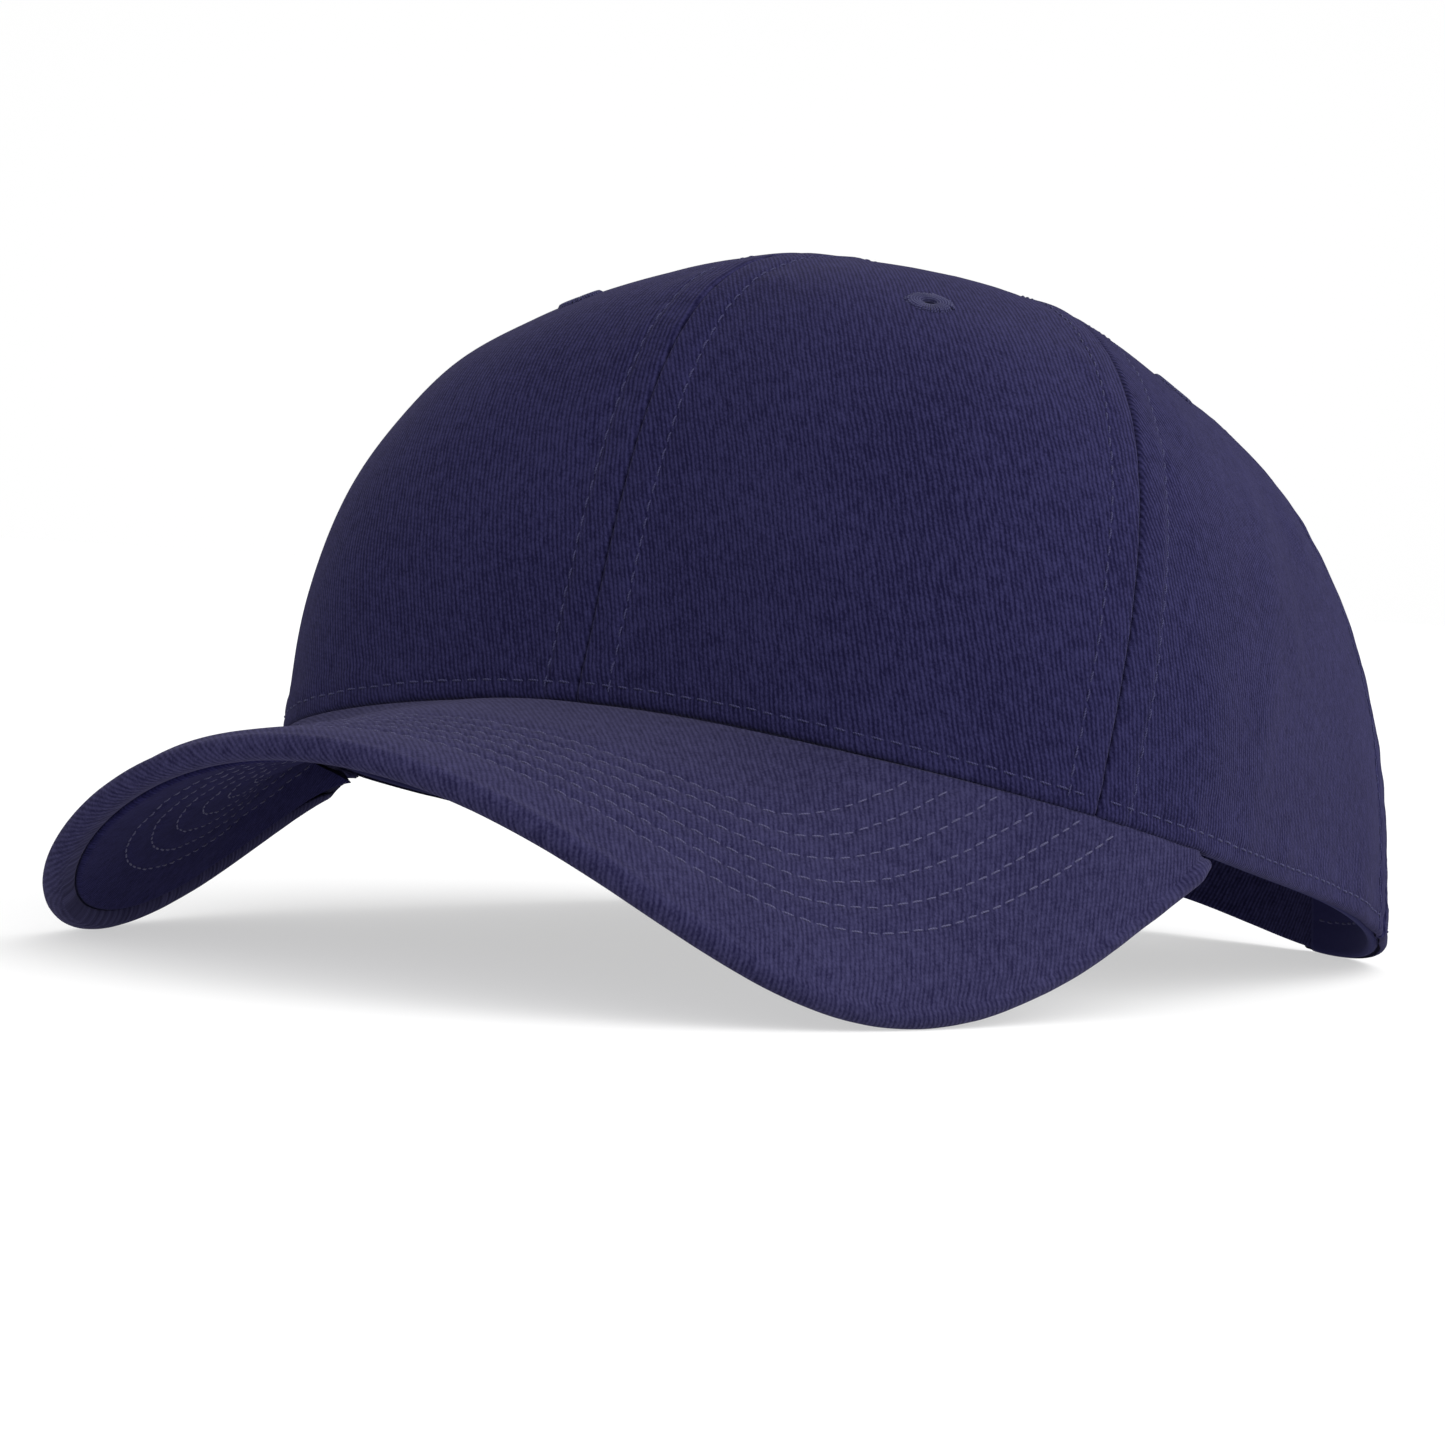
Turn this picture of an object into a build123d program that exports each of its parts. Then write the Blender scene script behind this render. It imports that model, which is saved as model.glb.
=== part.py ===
from build123d import *
import os

# Six-panel baseball cap with a pre-curved visor and a hook-and-loop strap at the back.
# Frame: the cap rests on its two visor tips and the back of its rim on the plane z = 0.
# The visor points along -Y, the wearer's left is +X, +Z is up. Everything is first worked
# out in the wearer's frame, with the rim about level, and then tipped back onto the plane.

# ---- driving dimensions (millimetres, degrees) ----
CROWN_HALF_WIDTH = 88.7      # plan half-width term of the rim curve
CROWN_HALF_LENGTH = 103.5    # plan half-length term of the rim curve
EGG, SQUARE = 0.108, 0.064   # plan shape: narrower at the back, slightly square
SEAM_1, SEAM_2 = 52.0, 118.3 # seam angles from the centre front
SEAM_1_BOW = 3.3             # degrees that the front side seam bows backwards
VISOR_HALF_ANGLE = 68.8      # angle of each visor corner
RIM_Z = (12.454, 8.35, 1.664, -1.798, -6.803, -7.936, 0.0)  # rim height at 0, 30 ... 180 degrees
APEX_Y, APEX_Z = 17.7, 97.2  # button point above the rim
LAM = (-0.47, 1.708, -4.96, -3.569)   # wall lean at the rim, cosine series
LEN1 = (68.351, 8.586, -2.444, -2.068)
LEN2 = (62.154, 15.053, 17.095, 3.566)
TAU = (3.408, -4.738, -1.508)
PANEL_FLATTEN = -1.25        # panels lie this much inside the round shape between seams
VISOR_EDGE = ((0.0, -163.36, -2.5), (28.07, -163.36, -2.5), (83.44, -151.66, -12.93),
              (73.65, -134.8, -77.91), (90.03, -61.32, -0.63))  # control points of the edge centre line
VISOR_THICK = 4.0

import numpy as np
from math import comb

_K = np.radians([0, 30, 60, 90, 120, 150, 180])
_ZC = np.linalg.solve(np.cos(np.outer(_K, np.arange(7))), np.array(RIM_Z))


def rim(phi):
    """Crown's lower edge, as seen from outside, at an angle from the centre front."""
    phi = np.asarray(phi, float)
    s, c = np.sin(phi), np.cos(phi)
    q = 1 - SQUARE * np.cos(4 * phi)
    z = sum(_ZC[k] * np.cos(k * phi) for k in range(7))
    return np.stack([CROWN_HALF_WIDTH * s * (1 + EGG * c) * q, -CROWN_HALF_LENGTH * c * q, z], -1)


def crown(phi, u):
    """Outer surface of the crown: u is 0 at the rim and 1 at the button."""
    phi, u = np.broadcast_arrays(np.asarray(phi, float), np.asarray(u, float))
    P = rim(phi)
    T = np.array([0.0, APEX_Y, APEX_Z])
    d = P[..., :2] - T[:2]
    h = d / np.linalg.norm(d, axis=-1, keepdims=True)
    cs = [np.cos(k * phi) for k in range(4)]
    lam = np.radians(sum(a * b for a, b in zip(LAM, cs)))
    l1 = sum(a * b for a, b in zip(LEN1, cs))
    l2 = sum(a * b for a, b in zip(LEN2, cs))
    tau = np.radians(sum(a * b for a, b in zip(TAU, cs)))
    P1 = P + np.concatenate([h * (l1 * np.sin(lam))[..., None], (l1 * np.cos(lam))[..., None]], -1)
    P2 = T + np.concatenate([h * (l2 * np.cos(tau))[..., None], -(l2 * np.sin(tau))[..., None]], -1)
    a = np.abs((phi + np.pi) % (2 * np.pi) - np.pi)
    k = np.radians([0, SEAM_1, SEAM_2, 180.0])
    j = np.clip(np.searchsorted(k, a, side="right") - 1, 0, 2)
    w = (a - k[j]) / (k[j + 1] - k[j])
    bl = PANEL_FLATTEN * np.sin(np.pi * w) * np.sin(np.pi * np.clip(u, 0, 1))
    t = u[..., None]
    X = (1 - t) ** 3 * P + 3 * (1 - t) ** 2 * t * P1 + 3 * (1 - t) * t ** 2 * P2 + t ** 3 * T
    n = np.concatenate([h * np.cos(u * np.pi / 2)[..., None], np.sin(u * np.pi / 2)[..., None]], -1)
    return X + n * bl[..., None]


def _unit(v):
    return v / np.maximum(np.linalg.norm(v, axis=-1, keepdims=True), 1e-12)


def crown_normal(phi, u):
    e = 1e-3
    phi, u = np.broadcast_arrays(np.asarray(phi, float), np.asarray(u, float))
    uc = np.clip(u, 0.002, 0.985)
    dp = crown(phi + 8 * e, uc) - crown(phi - 8 * e, uc)
    du = crown(phi, uc + e) - crown(phi, uc - e)
    return _unit(np.cross(dp, du))


def shell(phi, u, d=0.0):
    """Point d millimetres inside the crown's outer surface."""
    return crown(phi, u) - np.asarray(d, float)[..., None] * crown_normal(phi, u)


def seam1(u):
    return np.radians(SEAM_1 + SEAM_1_BOW * 4 * u * (1 - u))


def visor_edge(t):
    """Centre line of the visor's rounded edge, t from -1 (wearer's right corner) to 1."""
    t = np.asarray(t, float)
    C = np.array(VISOR_EDGE + (tuple(rim(np.radians(VISOR_HALF_ANGLE))),), float)
    q = np.abs(t)[..., None]
    B = sum(comb(5, k) * (1 - q) ** (5 - k) * q ** k * C[k] for k in range(6))
    B = B.copy()
    B[..., 0] *= np.where(t < 0, -1.0, 1.0)
    return B


_tt = np.linspace(0, 1, 801)
_el = np.concatenate([[0], np.cumsum(np.linalg.norm(np.diff(visor_edge(_tt), axis=0), axis=1))])
_rt = np.linspace(0, 1, 801)
_rl = np.concatenate([[0], np.cumsum(np.linalg.norm(np.diff(rim(np.radians(VISOR_HALF_ANGLE) * _rt), axis=0), axis=1))])


def _edge_at(s):
    s = np.asarray(s, float)
    return visor_edge(np.sign(s) * np.interp(np.abs(s) * _el[-1], _el, _tt))


def _rim_at(s):
    s = np.asarray(s, float)
    return rim(np.radians(VISOR_HALF_ANGLE) * np.sign(s) * np.interp(np.abs(s) * _rl[-1], _rl, _rt))


def _rim_out(s):
    s = np.asarray(s, float)
    f = np.radians(VISOR_HALF_ANGLE) * np.sign(s) * np.interp(np.abs(s) * _rl[-1], _rl, _rt)
    return crown_normal(f, 0.01)


def visor_mid(s, v):
    """Middle of the visor board: v is 0 at the crown and 1 at the edge's centre line."""
    s, v = np.broadcast_arrays(np.asarray(s, float), np.asarray(v, float))
    e = 2e-3
    R, E = _rim_at(s), _edge_at(s)
    n = _unit(np.cross(_rim_at(s + e) - _rim_at(s - e), R - E))
    n = n * np.where(n[..., 2:] < 0, -1, 1)
    R = R - n * (VISOR_THICK / 2) + 0.35 * _rim_out(s) - np.array([0, 0, 0.2])
    return R + (E - R) * v[..., None]


def visor_normal(s, v):
    e = 2e-3
    s, v = np.broadcast_arrays(np.asarray(s, float), np.asarray(v, float))
    sc = np.clip(s, -0.985, 0.985)
    n = np.cross(visor_mid(sc + e, v) - visor_mid(sc - e, v), visor_mid(sc, v) - visor_mid(sc, v + 0.01))
    n = _unit(n)
    return n * np.where(n[..., 2:] < 0, -1, 1)


def visor(s, v, h):
    """Point h millimetres above the visor's middle surface."""
    return visor_mid(s, v) + np.asarray(h, float)[..., None] * visor_normal(s, v)

# ---- layer depths, measured inwards from the crown's outer surface ----
PANEL_T = 0.7
BUCKRAM = (0.78, 1.13)
BINDING = (0.88, 1.15)
TAPE = (1.25, 1.6)
STIFFENER = (1.8, 2.12)
SWEATBAND = (2.4, 3.4)
SWEATBAND_H = 33.0
STIFFENER_H = 27.0
TAPE_HALF = 6.0
SEAM_GAP = 0.12              # half of the gap between neighbouring panels
RING_R = 3.2                 # panels stop this far from the button's axis
# ---- back opening and strap ----
ARCH_HALF = 43.0             # half-width of the back opening
ARCH_TOP = 50.0              # height of its crest in the wearer's frame
ARCH_BASE = -4.0             # level where the arch's sides turn straight
STRAP_W = 24.0
STRAP_LOW = 1.0              # strap's lower edge above the rim line
# ---- button, eyelets, thread ----
BUTTON_R = 7.0
BUTTON_H = 3.6
EYELET_OUT, EYELET_IN = 4.4, 1.0
THREAD_W, THREAD_H = 0.5, 0.28
TOPSTITCH = 6.0              # distance of each topstitch row from its seam
HEM = 3.0                    # height of the hem row above the rim
ROWS = [12.4 + 4.8 * k for k in range(6)]   # visor rows, from the edge centre line
# ---- resting pose ----
TILT = 6.513                 # degrees the cap tips back to rest
SHIFT = (0.0, 32.75, 19.17)


def place(P):
    """From the wearer's frame to the resting frame."""
    P = np.asarray(P, float)
    c, s = np.cos(np.radians(TILT)), np.sin(np.radians(TILT))
    y = P[..., 1] * c + P[..., 2] * s
    z = -P[..., 1] * s + P[..., 2] * c
    return np.stack([P[..., 0] + SHIFT[0], y + SHIFT[1], z + SHIFT[2]], -1)


def place_dir(v):
    v = np.asarray(v, float)
    c, s = np.cos(np.radians(TILT)), np.sin(np.radians(TILT))
    return np.array([v[0], v[1] * c + v[2] * s, -v[1] * s + v[2] * c])


def skin(grid):
    pts = place(grid)
    return Face.make_surface_from_array_of_points(
        [[Vector(*map(float, p)) for p in row] for row in pts], tol=0.004, min_deg=1, max_deg=3
    )


def rims(face, grid):
    """The four boundary edges, in the order first row, last row, first column, last column."""
    g = place(grid)
    mids = [g[0, g.shape[1] // 2], g[-1, g.shape[1] // 2], g[g.shape[0] // 2, 0], g[g.shape[0] // 2, -1]]
    left, out = list(face.edges()), []
    for m in mids:
        k = min(range(len(left)), key=lambda i: left[i].distance_to(Vector(*map(float, m))))
        out.append(left.pop(k))
    return out


def slab(a, b):
    """Closed solid between two point grids of the same shape."""
    a, b = np.asarray(a, float), np.asarray(b, float)
    fa, fb = skin(a), skin(b)
    faces = [fa, fb] + [Face.make_surface_from_curves(p, q) for p, q in zip(rims(fa, a), rims(fb, b))]
    s = Solid(Shell(faces))
    if s.volume < 0:
        s = Solid(Shell([-f for f in faces]))
    return s


def write(name, solids):
    solids = list(solids) if isinstance(solids, (list, tuple)) else [solids]
    flat = []
    for s in solids:
        flat += list(s.solids())
    shape = flat[0] if len(flat) == 1 else Compound(children=flat)
    shape.label = name
    export_step(shape, f"parts/{name}.step")
    BOXES.append(shape.bounding_box())
    print(name, len(flat), round(sum(f.volume for f in flat), 1), [round(f.is_valid) for f in flat][:3])


BOXES = []
os.makedirs("parts", exist_ok=True)


def radial(phi, u):
    p = crown(phi, u)
    return np.hypot(p[..., 0], p[..., 1] - APEX_Y)


def u_at_radius(phi, r):
    """u where the surface is r from the button's axis."""
    uu = np.linspace(0.4, 1, 601)
    phi = np.atleast_1d(phi)
    return np.array([np.interp(-r, -radial(f, uu), uu) for f in phi])


def u_at_height(phi, h):
    """u at h millimetres up the wall from the rim."""
    uu = np.linspace(0, 0.6, 601)
    phi = np.atleast_1d(phi)
    h = np.broadcast_to(h, phi.shape)
    out = []
    for f, k in zip(phi, h):
        L = np.concatenate([[0], np.cumsum(np.linalg.norm(np.diff(crown(f, uu), axis=0), axis=1))])
        out.append(np.interp(k, L, uu))
    return np.array(out)


def beside(phi, u, mm):
    """Angle of the point mm beside (phi, u), towards larger angles."""
    e = 1e-3
    g = np.linalg.norm(crown(phi + e, u) - crown(phi - e, u), axis=-1) / (2 * e)
    return phi + mm / np.maximum(g, 1.0)


SEAMS = {"c": lambda u: 0 * u, "f": seam1, "r": lambda u: 0 * u + np.radians(SEAM_2), "b": lambda u: 0 * u + np.pi}


def mirror(grid):
    g = np.array(grid)
    g[..., 0] *= -1
    return g


def panel_grid(a, b, d, nu=17, nphi=11, u0=0.0, gap=SEAM_GAP, top=RING_R):
    w = np.linspace(0, 1, nphi)
    G = np.zeros((nu, nphi, 3))
    for j, wj in enumerate(w):
        # u of the top ring in this column
        f1 = a(np.array([0.97]))[0] * (1 - wj) + b(np.array([0.97]))[0] * wj
        ut = u_at_radius(f1, top)[0] if top else 1.0
        u = u0 + (ut - u0) * np.linspace(0, 1, nu)
        pa, pb = beside(a(u), u, gap), beside(b(u), u, -gap)
        phi = pa * (1 - wj) + pb * wj
        G[:, j] = shell(phi, u, np.full(nu, d))
    return G


def eyelet_spot(phi, u):
    return crown(phi, u), crown_normal(phi, u)


FRONT_EYE = (np.radians(29.0), 0.54)
def u_from_apex(phi, arc):
    uu = np.linspace(0, 1, 801)
    L = np.cumsum(np.linalg.norm(np.diff(crown(phi, uu), axis=0), axis=1)[::-1])[::-1]
    return float(np.interp(-arc, -L, uu[:-1]))
SIDE_EYE = (np.radians(85.0), u_from_apex(np.radians(85.0), 52.0))
BACK_EYE = (np.radians(149.0), u_from_apex(np.radians(149.0), 52.0))


def plane_at(p, n, x=(0, 0, 1)):
    p, n = place(p), place_dir(n)
    return Plane(origin=tuple(map(float, p)), z_dir=tuple(map(float, n)))


def drill(spot):
    p, n = eyelet_spot(*spot)
    return plane_at(p - 4 * n, n) * Cylinder(1.2, 8, align=(Align.CENTER, Align.CENTER, Align.MIN))


def mirror_solid(s):
    return s.mirror(Plane.YZ)


# ---- back opening ----
def arch_outline(grow):
    w, t = ARCH_HALF + grow, ARCH_TOP + grow - ARCH_BASE
    return w, t


def arch_cutter(grow=0.0):
    w, t = arch_outline(grow)
    with BuildSketch(Plane.XZ) as sk:
        Ellipse(w, t)
        with Locations((0, -t / 2)):
            Rectangle(3 * w, t, mode=Mode.SUBTRACT)
        with Locations((0, -20)):
            Rectangle(2 * w, 40.02)
    block = extrude(sk.sketch, amount=-160)      # towards +Y
    block = Pos(0, 20, ARCH_BASE) * block
    block = Rot(-TILT, 0, 0) * block
    return Pos(*SHIFT) * block


def on_back(x, z):
    """(phi, u) of the crown's back surface at a given x and z of the wearer's frame."""
    phi = np.pi - np.arcsin(np.clip(x / 84.0, -1, 1))
    u = np.clip((z + 5) / 150.0, 0.0, 0.9)
    for _ in range(40):
        p = crown(phi, u)
        e = 1e-4
        a = (crown(phi + e, u) - p) / e
        b = (crown(phi, u + e) - p) / e
        rx, rz = x - p[..., 0], z - p[..., 2]
        det = a[..., 0] * b[..., 2] - b[..., 0] * a[..., 2]
        phi = phi + (rx * b[..., 2] - b[..., 0] * rz) / det
        u = u + (a[..., 0] * rz - rx * a[..., 2]) / det
    return phi, u


# ---- crown panels ----
cut = arch_cutter()
for side, m in (("left", False), ("right", True)):
    for name, a, b, eye in (("front", "c", "f", FRONT_EYE), ("side", "f", "r", SIDE_EYE), ("back", "r", "b", BACK_EYE)):
        o, i = panel_grid(SEAMS[a], SEAMS[b], 0.0), panel_grid(SEAMS[a], SEAMS[b], PANEL_T)
        s = slab(o, i) - drill(eye)
        if name == "back":
            s = s - cut
        write(f"{name}_{side}_panel", mirror_solid(s) if m else s)
    # stiff backing of the front panel
    def bk(d):
        G = np.zeros((11, 9, 3))
        u = np.linspace(0.05, 0.8, 11)
        pa, pb = beside(SEAMS["c"](u), u, 1.0), beside(SEAMS["f"](u), u, -1.0)
        for j, w in enumerate(np.linspace(0, 1, 9)):
            G[:, j] = shell(pa * (1 - w) + pb * w, u, np.full(11, d))
        return G
    s = slab(bk(BUCKRAM[0]), bk(BUCKRAM[1])) - drill(FRONT_EYE)
    write(f"front_{side}_buckram", mirror_solid(s) if m else s)
    # tapes over the side seams
    for name, key, stop in (("front", "f", 19.0), ("rear", "r", 15.0)):
        def tp(d, n=15):
            u1 = u_at_radius(SEAMS[key](np.array([0.9])), stop)[0]
            u = np.linspace(0.012, u1, n)
            c = SEAMS[key](u)
            return np.stack([shell(beside(c, u, k * TAPE_HALF), u, np.full(n, d)) for k in (-1, -0.5, 0, 0.5, 1)], 1)
        s = slab(tp(TAPE[0]), tp(TAPE[1]))
        write(f"{name}_{side}_seam_tape", mirror_solid(s) if m else s)


# ---- centre tape, from the front rim over the top to the back opening ----
def slice_line(x, d, n, z_end):
    """Points of the crown where it has this x, from the front rim over the top to the back."""
    up = []
    if abs(x) < 1e-6:
        u = np.linspace(0.012, 1, 120)
        A = crown(0 * u, u)
        v = np.linspace(1, 0.1, 120)[1:]
        B = crown(0 * v + np.pi, v)
        P = np.concatenate([A, B])
        N = np.concatenate([crown_normal(0 * u, np.minimum(u, 0.97)), crown_normal(0 * v + np.pi, np.minimum(v, 0.97))])
    else:
        # angles from just beside the front centre to just beside the back centre
        f = np.concatenate([np.geomspace(1e-3, 1, 500), np.linspace(1, np.pi - 1, 400)[1:], np.pi - np.geomspace(1e-3, 1, 500)[::-1][1:]])
        P, N = [], []
        uu = np.linspace(0, 1, 801)
        for phi in f:
            X = crown(phi, uu)[:, 0]
            if X[:700].max() < abs(x):
                continue
            k = np.where(X >= abs(x))[0].max()
            if k >= 800:
                continue
            t = (X[k] - abs(x)) / (X[k] - X[k + 1])
            u1 = uu[k] + t * (uu[k + 1] - uu[k])
            if u1 < 0.012:
                continue
            P.append(crown(phi, u1)); N.append(crown_normal(phi, min(u1, 0.97)))
        P, N = np.array(P), np.array(N)
        P[:, 0], N[:, 0] = P[:, 0] * np.sign(x), N[:, 0] * np.sign(x)
    keep = (P[:, 1] < APEX_Y) | (P[:, 2] > z_end)
    P, N = P[keep], N[keep]
    # the front end starts at one level for every line
    keep = (P[:, 1] > 0) | (P[:, 2] > FRONT_LEVEL)
    P, N = P[keep], N[keep]
    L = np.concatenate([[0], np.cumsum(np.linalg.norm(np.diff(P, axis=0), axis=1))])
    q = np.linspace(0, L[-1], n)
    Pq = np.stack([np.interp(q, L, P[:, k]) for k in range(3)], -1)
    Nq = _unit(np.stack([np.interp(q, L, N[:, k]) for k in range(3)], -1))
    # smooth the normals so the offset is even over the top
    for _ in range(6):
        Nq[1:-1] = _unit(Nq[:-2] + 2 * Nq[1:-1] + Nq[2:])
    return Pq - d * Nq


FRONT_LEVEL = 15.0
Z_BACK = ARCH_TOP + 1.5


def apex_frame():
    f = np.radians(np.arange(0, 360, 10.0))
    R = np.array([crown(k, u_at_radius(k, 7.0)[0]) for k in f])
    c = R.mean(0)
    n = np.linalg.svd(R - c)[2][-1]
    n = n * np.sign(n[2])
    return np.array([0.0, APEX_Y, APEX_Z]), _unit(np.array([0, n[1], n[2]]))


AP, AN = apex_frame()
button_plane = plane_at(AP, AN)
tape = slab(*[np.stack([slice_line(x, d, 41, Z_BACK) for x in (-TAPE_HALF, -3.0, 0.0, 3.0, TAPE_HALF)], 1) for d in TAPE])
tape = tape - button_plane * Cylinder(2.2, 12)
write("center_seam_tape", tape)

# ---- binding inside the back opening's edge ----
def bind(d, n=25):
    t = np.linspace(np.radians(4), np.radians(176), n)
    rows = []
    for g in (0.6, 3.0, 5.5, 8.0):
        w, h = arch_outline(g)
        x, z = w * np.cos(t), ARCH_BASE + h * np.sin(t)
        phi, u = on_back(np.abs(x), z)
        P = shell(phi, u, np.full(n, d))
        P[:, 0] *= np.sign(x + 1e-9)
        rows.append(P)
    return np.stack(rows, 1)


write("arch_binding", slab(bind(BINDING[0]), bind(BINDING[1])))


# ---- sweatband and its stiffener ----
def phi_at_x(x):
    f = np.linspace(np.radians(100), np.pi, 800)
    return float(np.interp(-x, -rim(f)[:, 0], f))


def band(d, h, f0, f1, low=0.6, n=45, m=5):
    f = np.linspace(f0, f1, n)
    G = []
    for k in np.linspace(0, 1, m):
        G.append(shell(f, u_at_height(f, low + (h - low) * k), np.full(n, d)))
    return np.stack(G, 1)


FB = phi_at_x(47.5)
write("sweatband", slab(band(SWEATBAND[0], SWEATBAND_H, -FB, FB), band(SWEATBAND[1], SWEATBAND_H, -FB, FB)))
write("sweatband_stiffener", slab(band(STIFFENER[0], STIFFENER_H, -FB + 0.02, FB - 0.02, low=3.0), band(STIFFENER[1], STIFFENER_H, -FB + 0.02, FB - 0.02, low=3.0)))

# ---- visor ----
S_END = 0.94
SS = np.linspace(-S_END, S_END, 49)
V0 = 0.004
COVER_T = 0.85
HALF = VISOR_THICK / 2


def edge_frame(s):
    e = 2e-3
    E = visor_mid(s, np.ones_like(s))
    T = _unit(visor_mid(s + e, np.ones_like(s)) - visor_mid(s - e, np.ones_like(s)))
    N = visor_normal(s, np.ones_like(s))
    O = _unit(np.cross(T, N))
    back = visor_mid(s, 0.9 * np.ones_like(s)) - E
    O = O * np.where((O * back).sum(-1, keepdims=True) > 0, -1, 1)
    N = _unit(N - (N * O).sum(-1, keepdims=True) * O)
    return E, O, N


def edge_wrap(r, lip, na=9):
    """The cover's turn round the visor's edge, and the lip underneath."""
    E, O, N = edge_frame(SS)
    cols = [E + r * (O * np.cos(a) + N * np.sin(a)) for a in np.radians(np.linspace(90, -90, na))]
    cols += [E - r * N - t * O for t in np.linspace(0, lip, 4)[1:]]
    return np.stack(cols, 1)


def flat_visor(h, v1, s=SS, nv=9):
    return np.stack([visor(s, V0 + (v1 - V0) * k, np.full(s.shape, h)) for k in np.linspace(0, 1, nv)], 1)


LIP = 2.6
one = np.ones_like(SS)
ruling = np.linalg.norm(visor_mid(SS, one) - visor_mid(SS, 0 * one), axis=-1)
to_edge = 1 - 0.04 / ruling
write("visor_top_cover", [
    slab(flat_visor(HALF, to_edge), flat_visor(HALF - COVER_T, to_edge)),
    slab(edge_wrap(HALF, LIP), edge_wrap(HALF - COVER_T, LIP)),
])
write("visor_board", slab(flat_visor(1.08, one), flat_visor(-1.08, one)))


_dense = _edge_at(np.linspace(-1, 1, 1601))


def edge_distance(P):
    P = np.asarray(P)
    flat = P.reshape(-1, 3)
    return np.array([np.sqrt(((_dense - p) ** 2).sum(1).min()) for p in flat]).reshape(P.shape[:-1])


def v_at_distance(s, dist):
    """v on each ruling where the middle surface is dist from the edge's centre line, or nan."""
    vv = np.linspace(0, 1, 61)
    out = []
    for k in np.atleast_1d(s):
        D = edge_distance(visor_mid(np.full(61, k), vv))
        out.append(np.interp(-dist, -D, vv) if D[0] > dist else np.nan)
    return np.array(out)


su = np.linspace(-0.93, 0.93, 45)
vg = v_at_distance(su, LIP + 0.5)
write("visor_under_cover", slab(flat_visor(-HALF + COVER_T, vg, su), flat_visor(-HALF, vg, su)))

rows = []
for dist in ROWS:
    s = np.linspace(-0.93, 0.93, 373)
    v = v_at_distance(s, dist)
    ok = np.isfinite(v) & (v > 0.02)
    s, v = s[ok], v[ok]
    s = np.linspace(s[0], s[-1], 41)
    v = v_at_distance(s, dist)
    v = np.where(np.isfinite(v), v, 0.02)
    P = visor_mid(s, v)
    width = np.linalg.norm(visor_mid(s, np.ones_like(s)) - visor_mid(s, np.zeros_like(s)), axis=-1)
    T = _unit(np.gradient(P, axis=0))
    N = visor_normal(s, v)
    B = np.cross(T, N)
    for h0, h1 in ((HALF + 0.03, HALF + 0.03 + THREAD_H), (-HALF - 0.03 - THREAD_H, -HALF - 0.03)):
        lo = np.stack([P + N * h0 - B * THREAD_W / 2, P + N * h0 + B * THREAD_W / 2], 1)
        hi = np.stack([P + N * h1 - B * THREAD_W / 2, P + N * h1 + B * THREAD_W / 2], 1)
        rows.append(slab(hi, lo))
write("visor_stitching", rows)

# ---- crown threads ----
def ribbon(phi, u):
    P, N = crown(phi, u), crown_normal(phi, u)
    T = _unit(np.gradient(P, axis=0))
    B = _unit(np.cross(T, N))
    g = [np.stack([P + N * h - B * THREAD_W / 2, P + N * h + B * THREAD_W / 2], 1) for h in (0.05 + THREAD_H, 0.05)]
    return g


def add_rows(out, phi, u):
    g = ribbon(phi, u)
    out.append(slab(*g))
    out.append(slab(mirror(g[0]), mirror(g[1])))


top = []
for key, sides, stop in (("c", (1,), 15.0), ("f", (-1, 1), 20.0), ("r", (-1, 1), 15.0), ("b", (-1,), 15.0)):
    for sd in sides:
        u1 = u_at_radius(SEAMS[key](np.array([0.9])), stop)[0]
        f0 = SEAMS[key](np.array([0.03]))
        u0 = u_at_height(f0, HEM + 1.5)[0]
        if key == "b":
            u0 = on_back(np.array([TOPSTITCH]), np.array([ARCH_TOP + 2.5]))[1][0]
        u = np.linspace(u0, u1, 25)
        add_rows(top, beside(SEAMS[key](u), u, sd * TOPSTITCH), u)
write("crown_topstitching", top)

hem = []
fa = phi_at_x(ARCH_HALF + 3.0)
for a, b in ((0.0, np.radians(SEAM_1)), (np.radians(SEAM_1), np.radians(SEAM_2)), (np.radians(SEAM_2), fa)):
    f = np.linspace(a + 0.004, b - 0.004, 21)
    add_rows(hem, f, u_at_height(f, HEM))
write("hem_stitching", hem)

# ---- eyelets ----
eyes = []
for spot in (FRONT_EYE, SIDE_EYE, BACK_EYE):
    p, n = eyelet_spot(*spot)
    ring = plane_at(p + 0.08 * n, n) * (
        Cylinder(EYELET_OUT, 0.7, align=(Align.CENTER, Align.CENTER, Align.MIN))
        - Cylinder(EYELET_IN, 2.0, align=(Align.CENTER, Align.CENTER, Align.CENTER))
    )
    eyes += [ring, mirror_solid(ring)]
write("eyelets", eyes)

# ---- button: core, fabric cover and rivet ----
def turned(points):
    with BuildSketch(Plane.XZ) as sk:
        with BuildLine():
            Polyline(*points, close=True)
        make_face()
    return button_plane * revolve(sk.sketch, Axis.Z)


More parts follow.
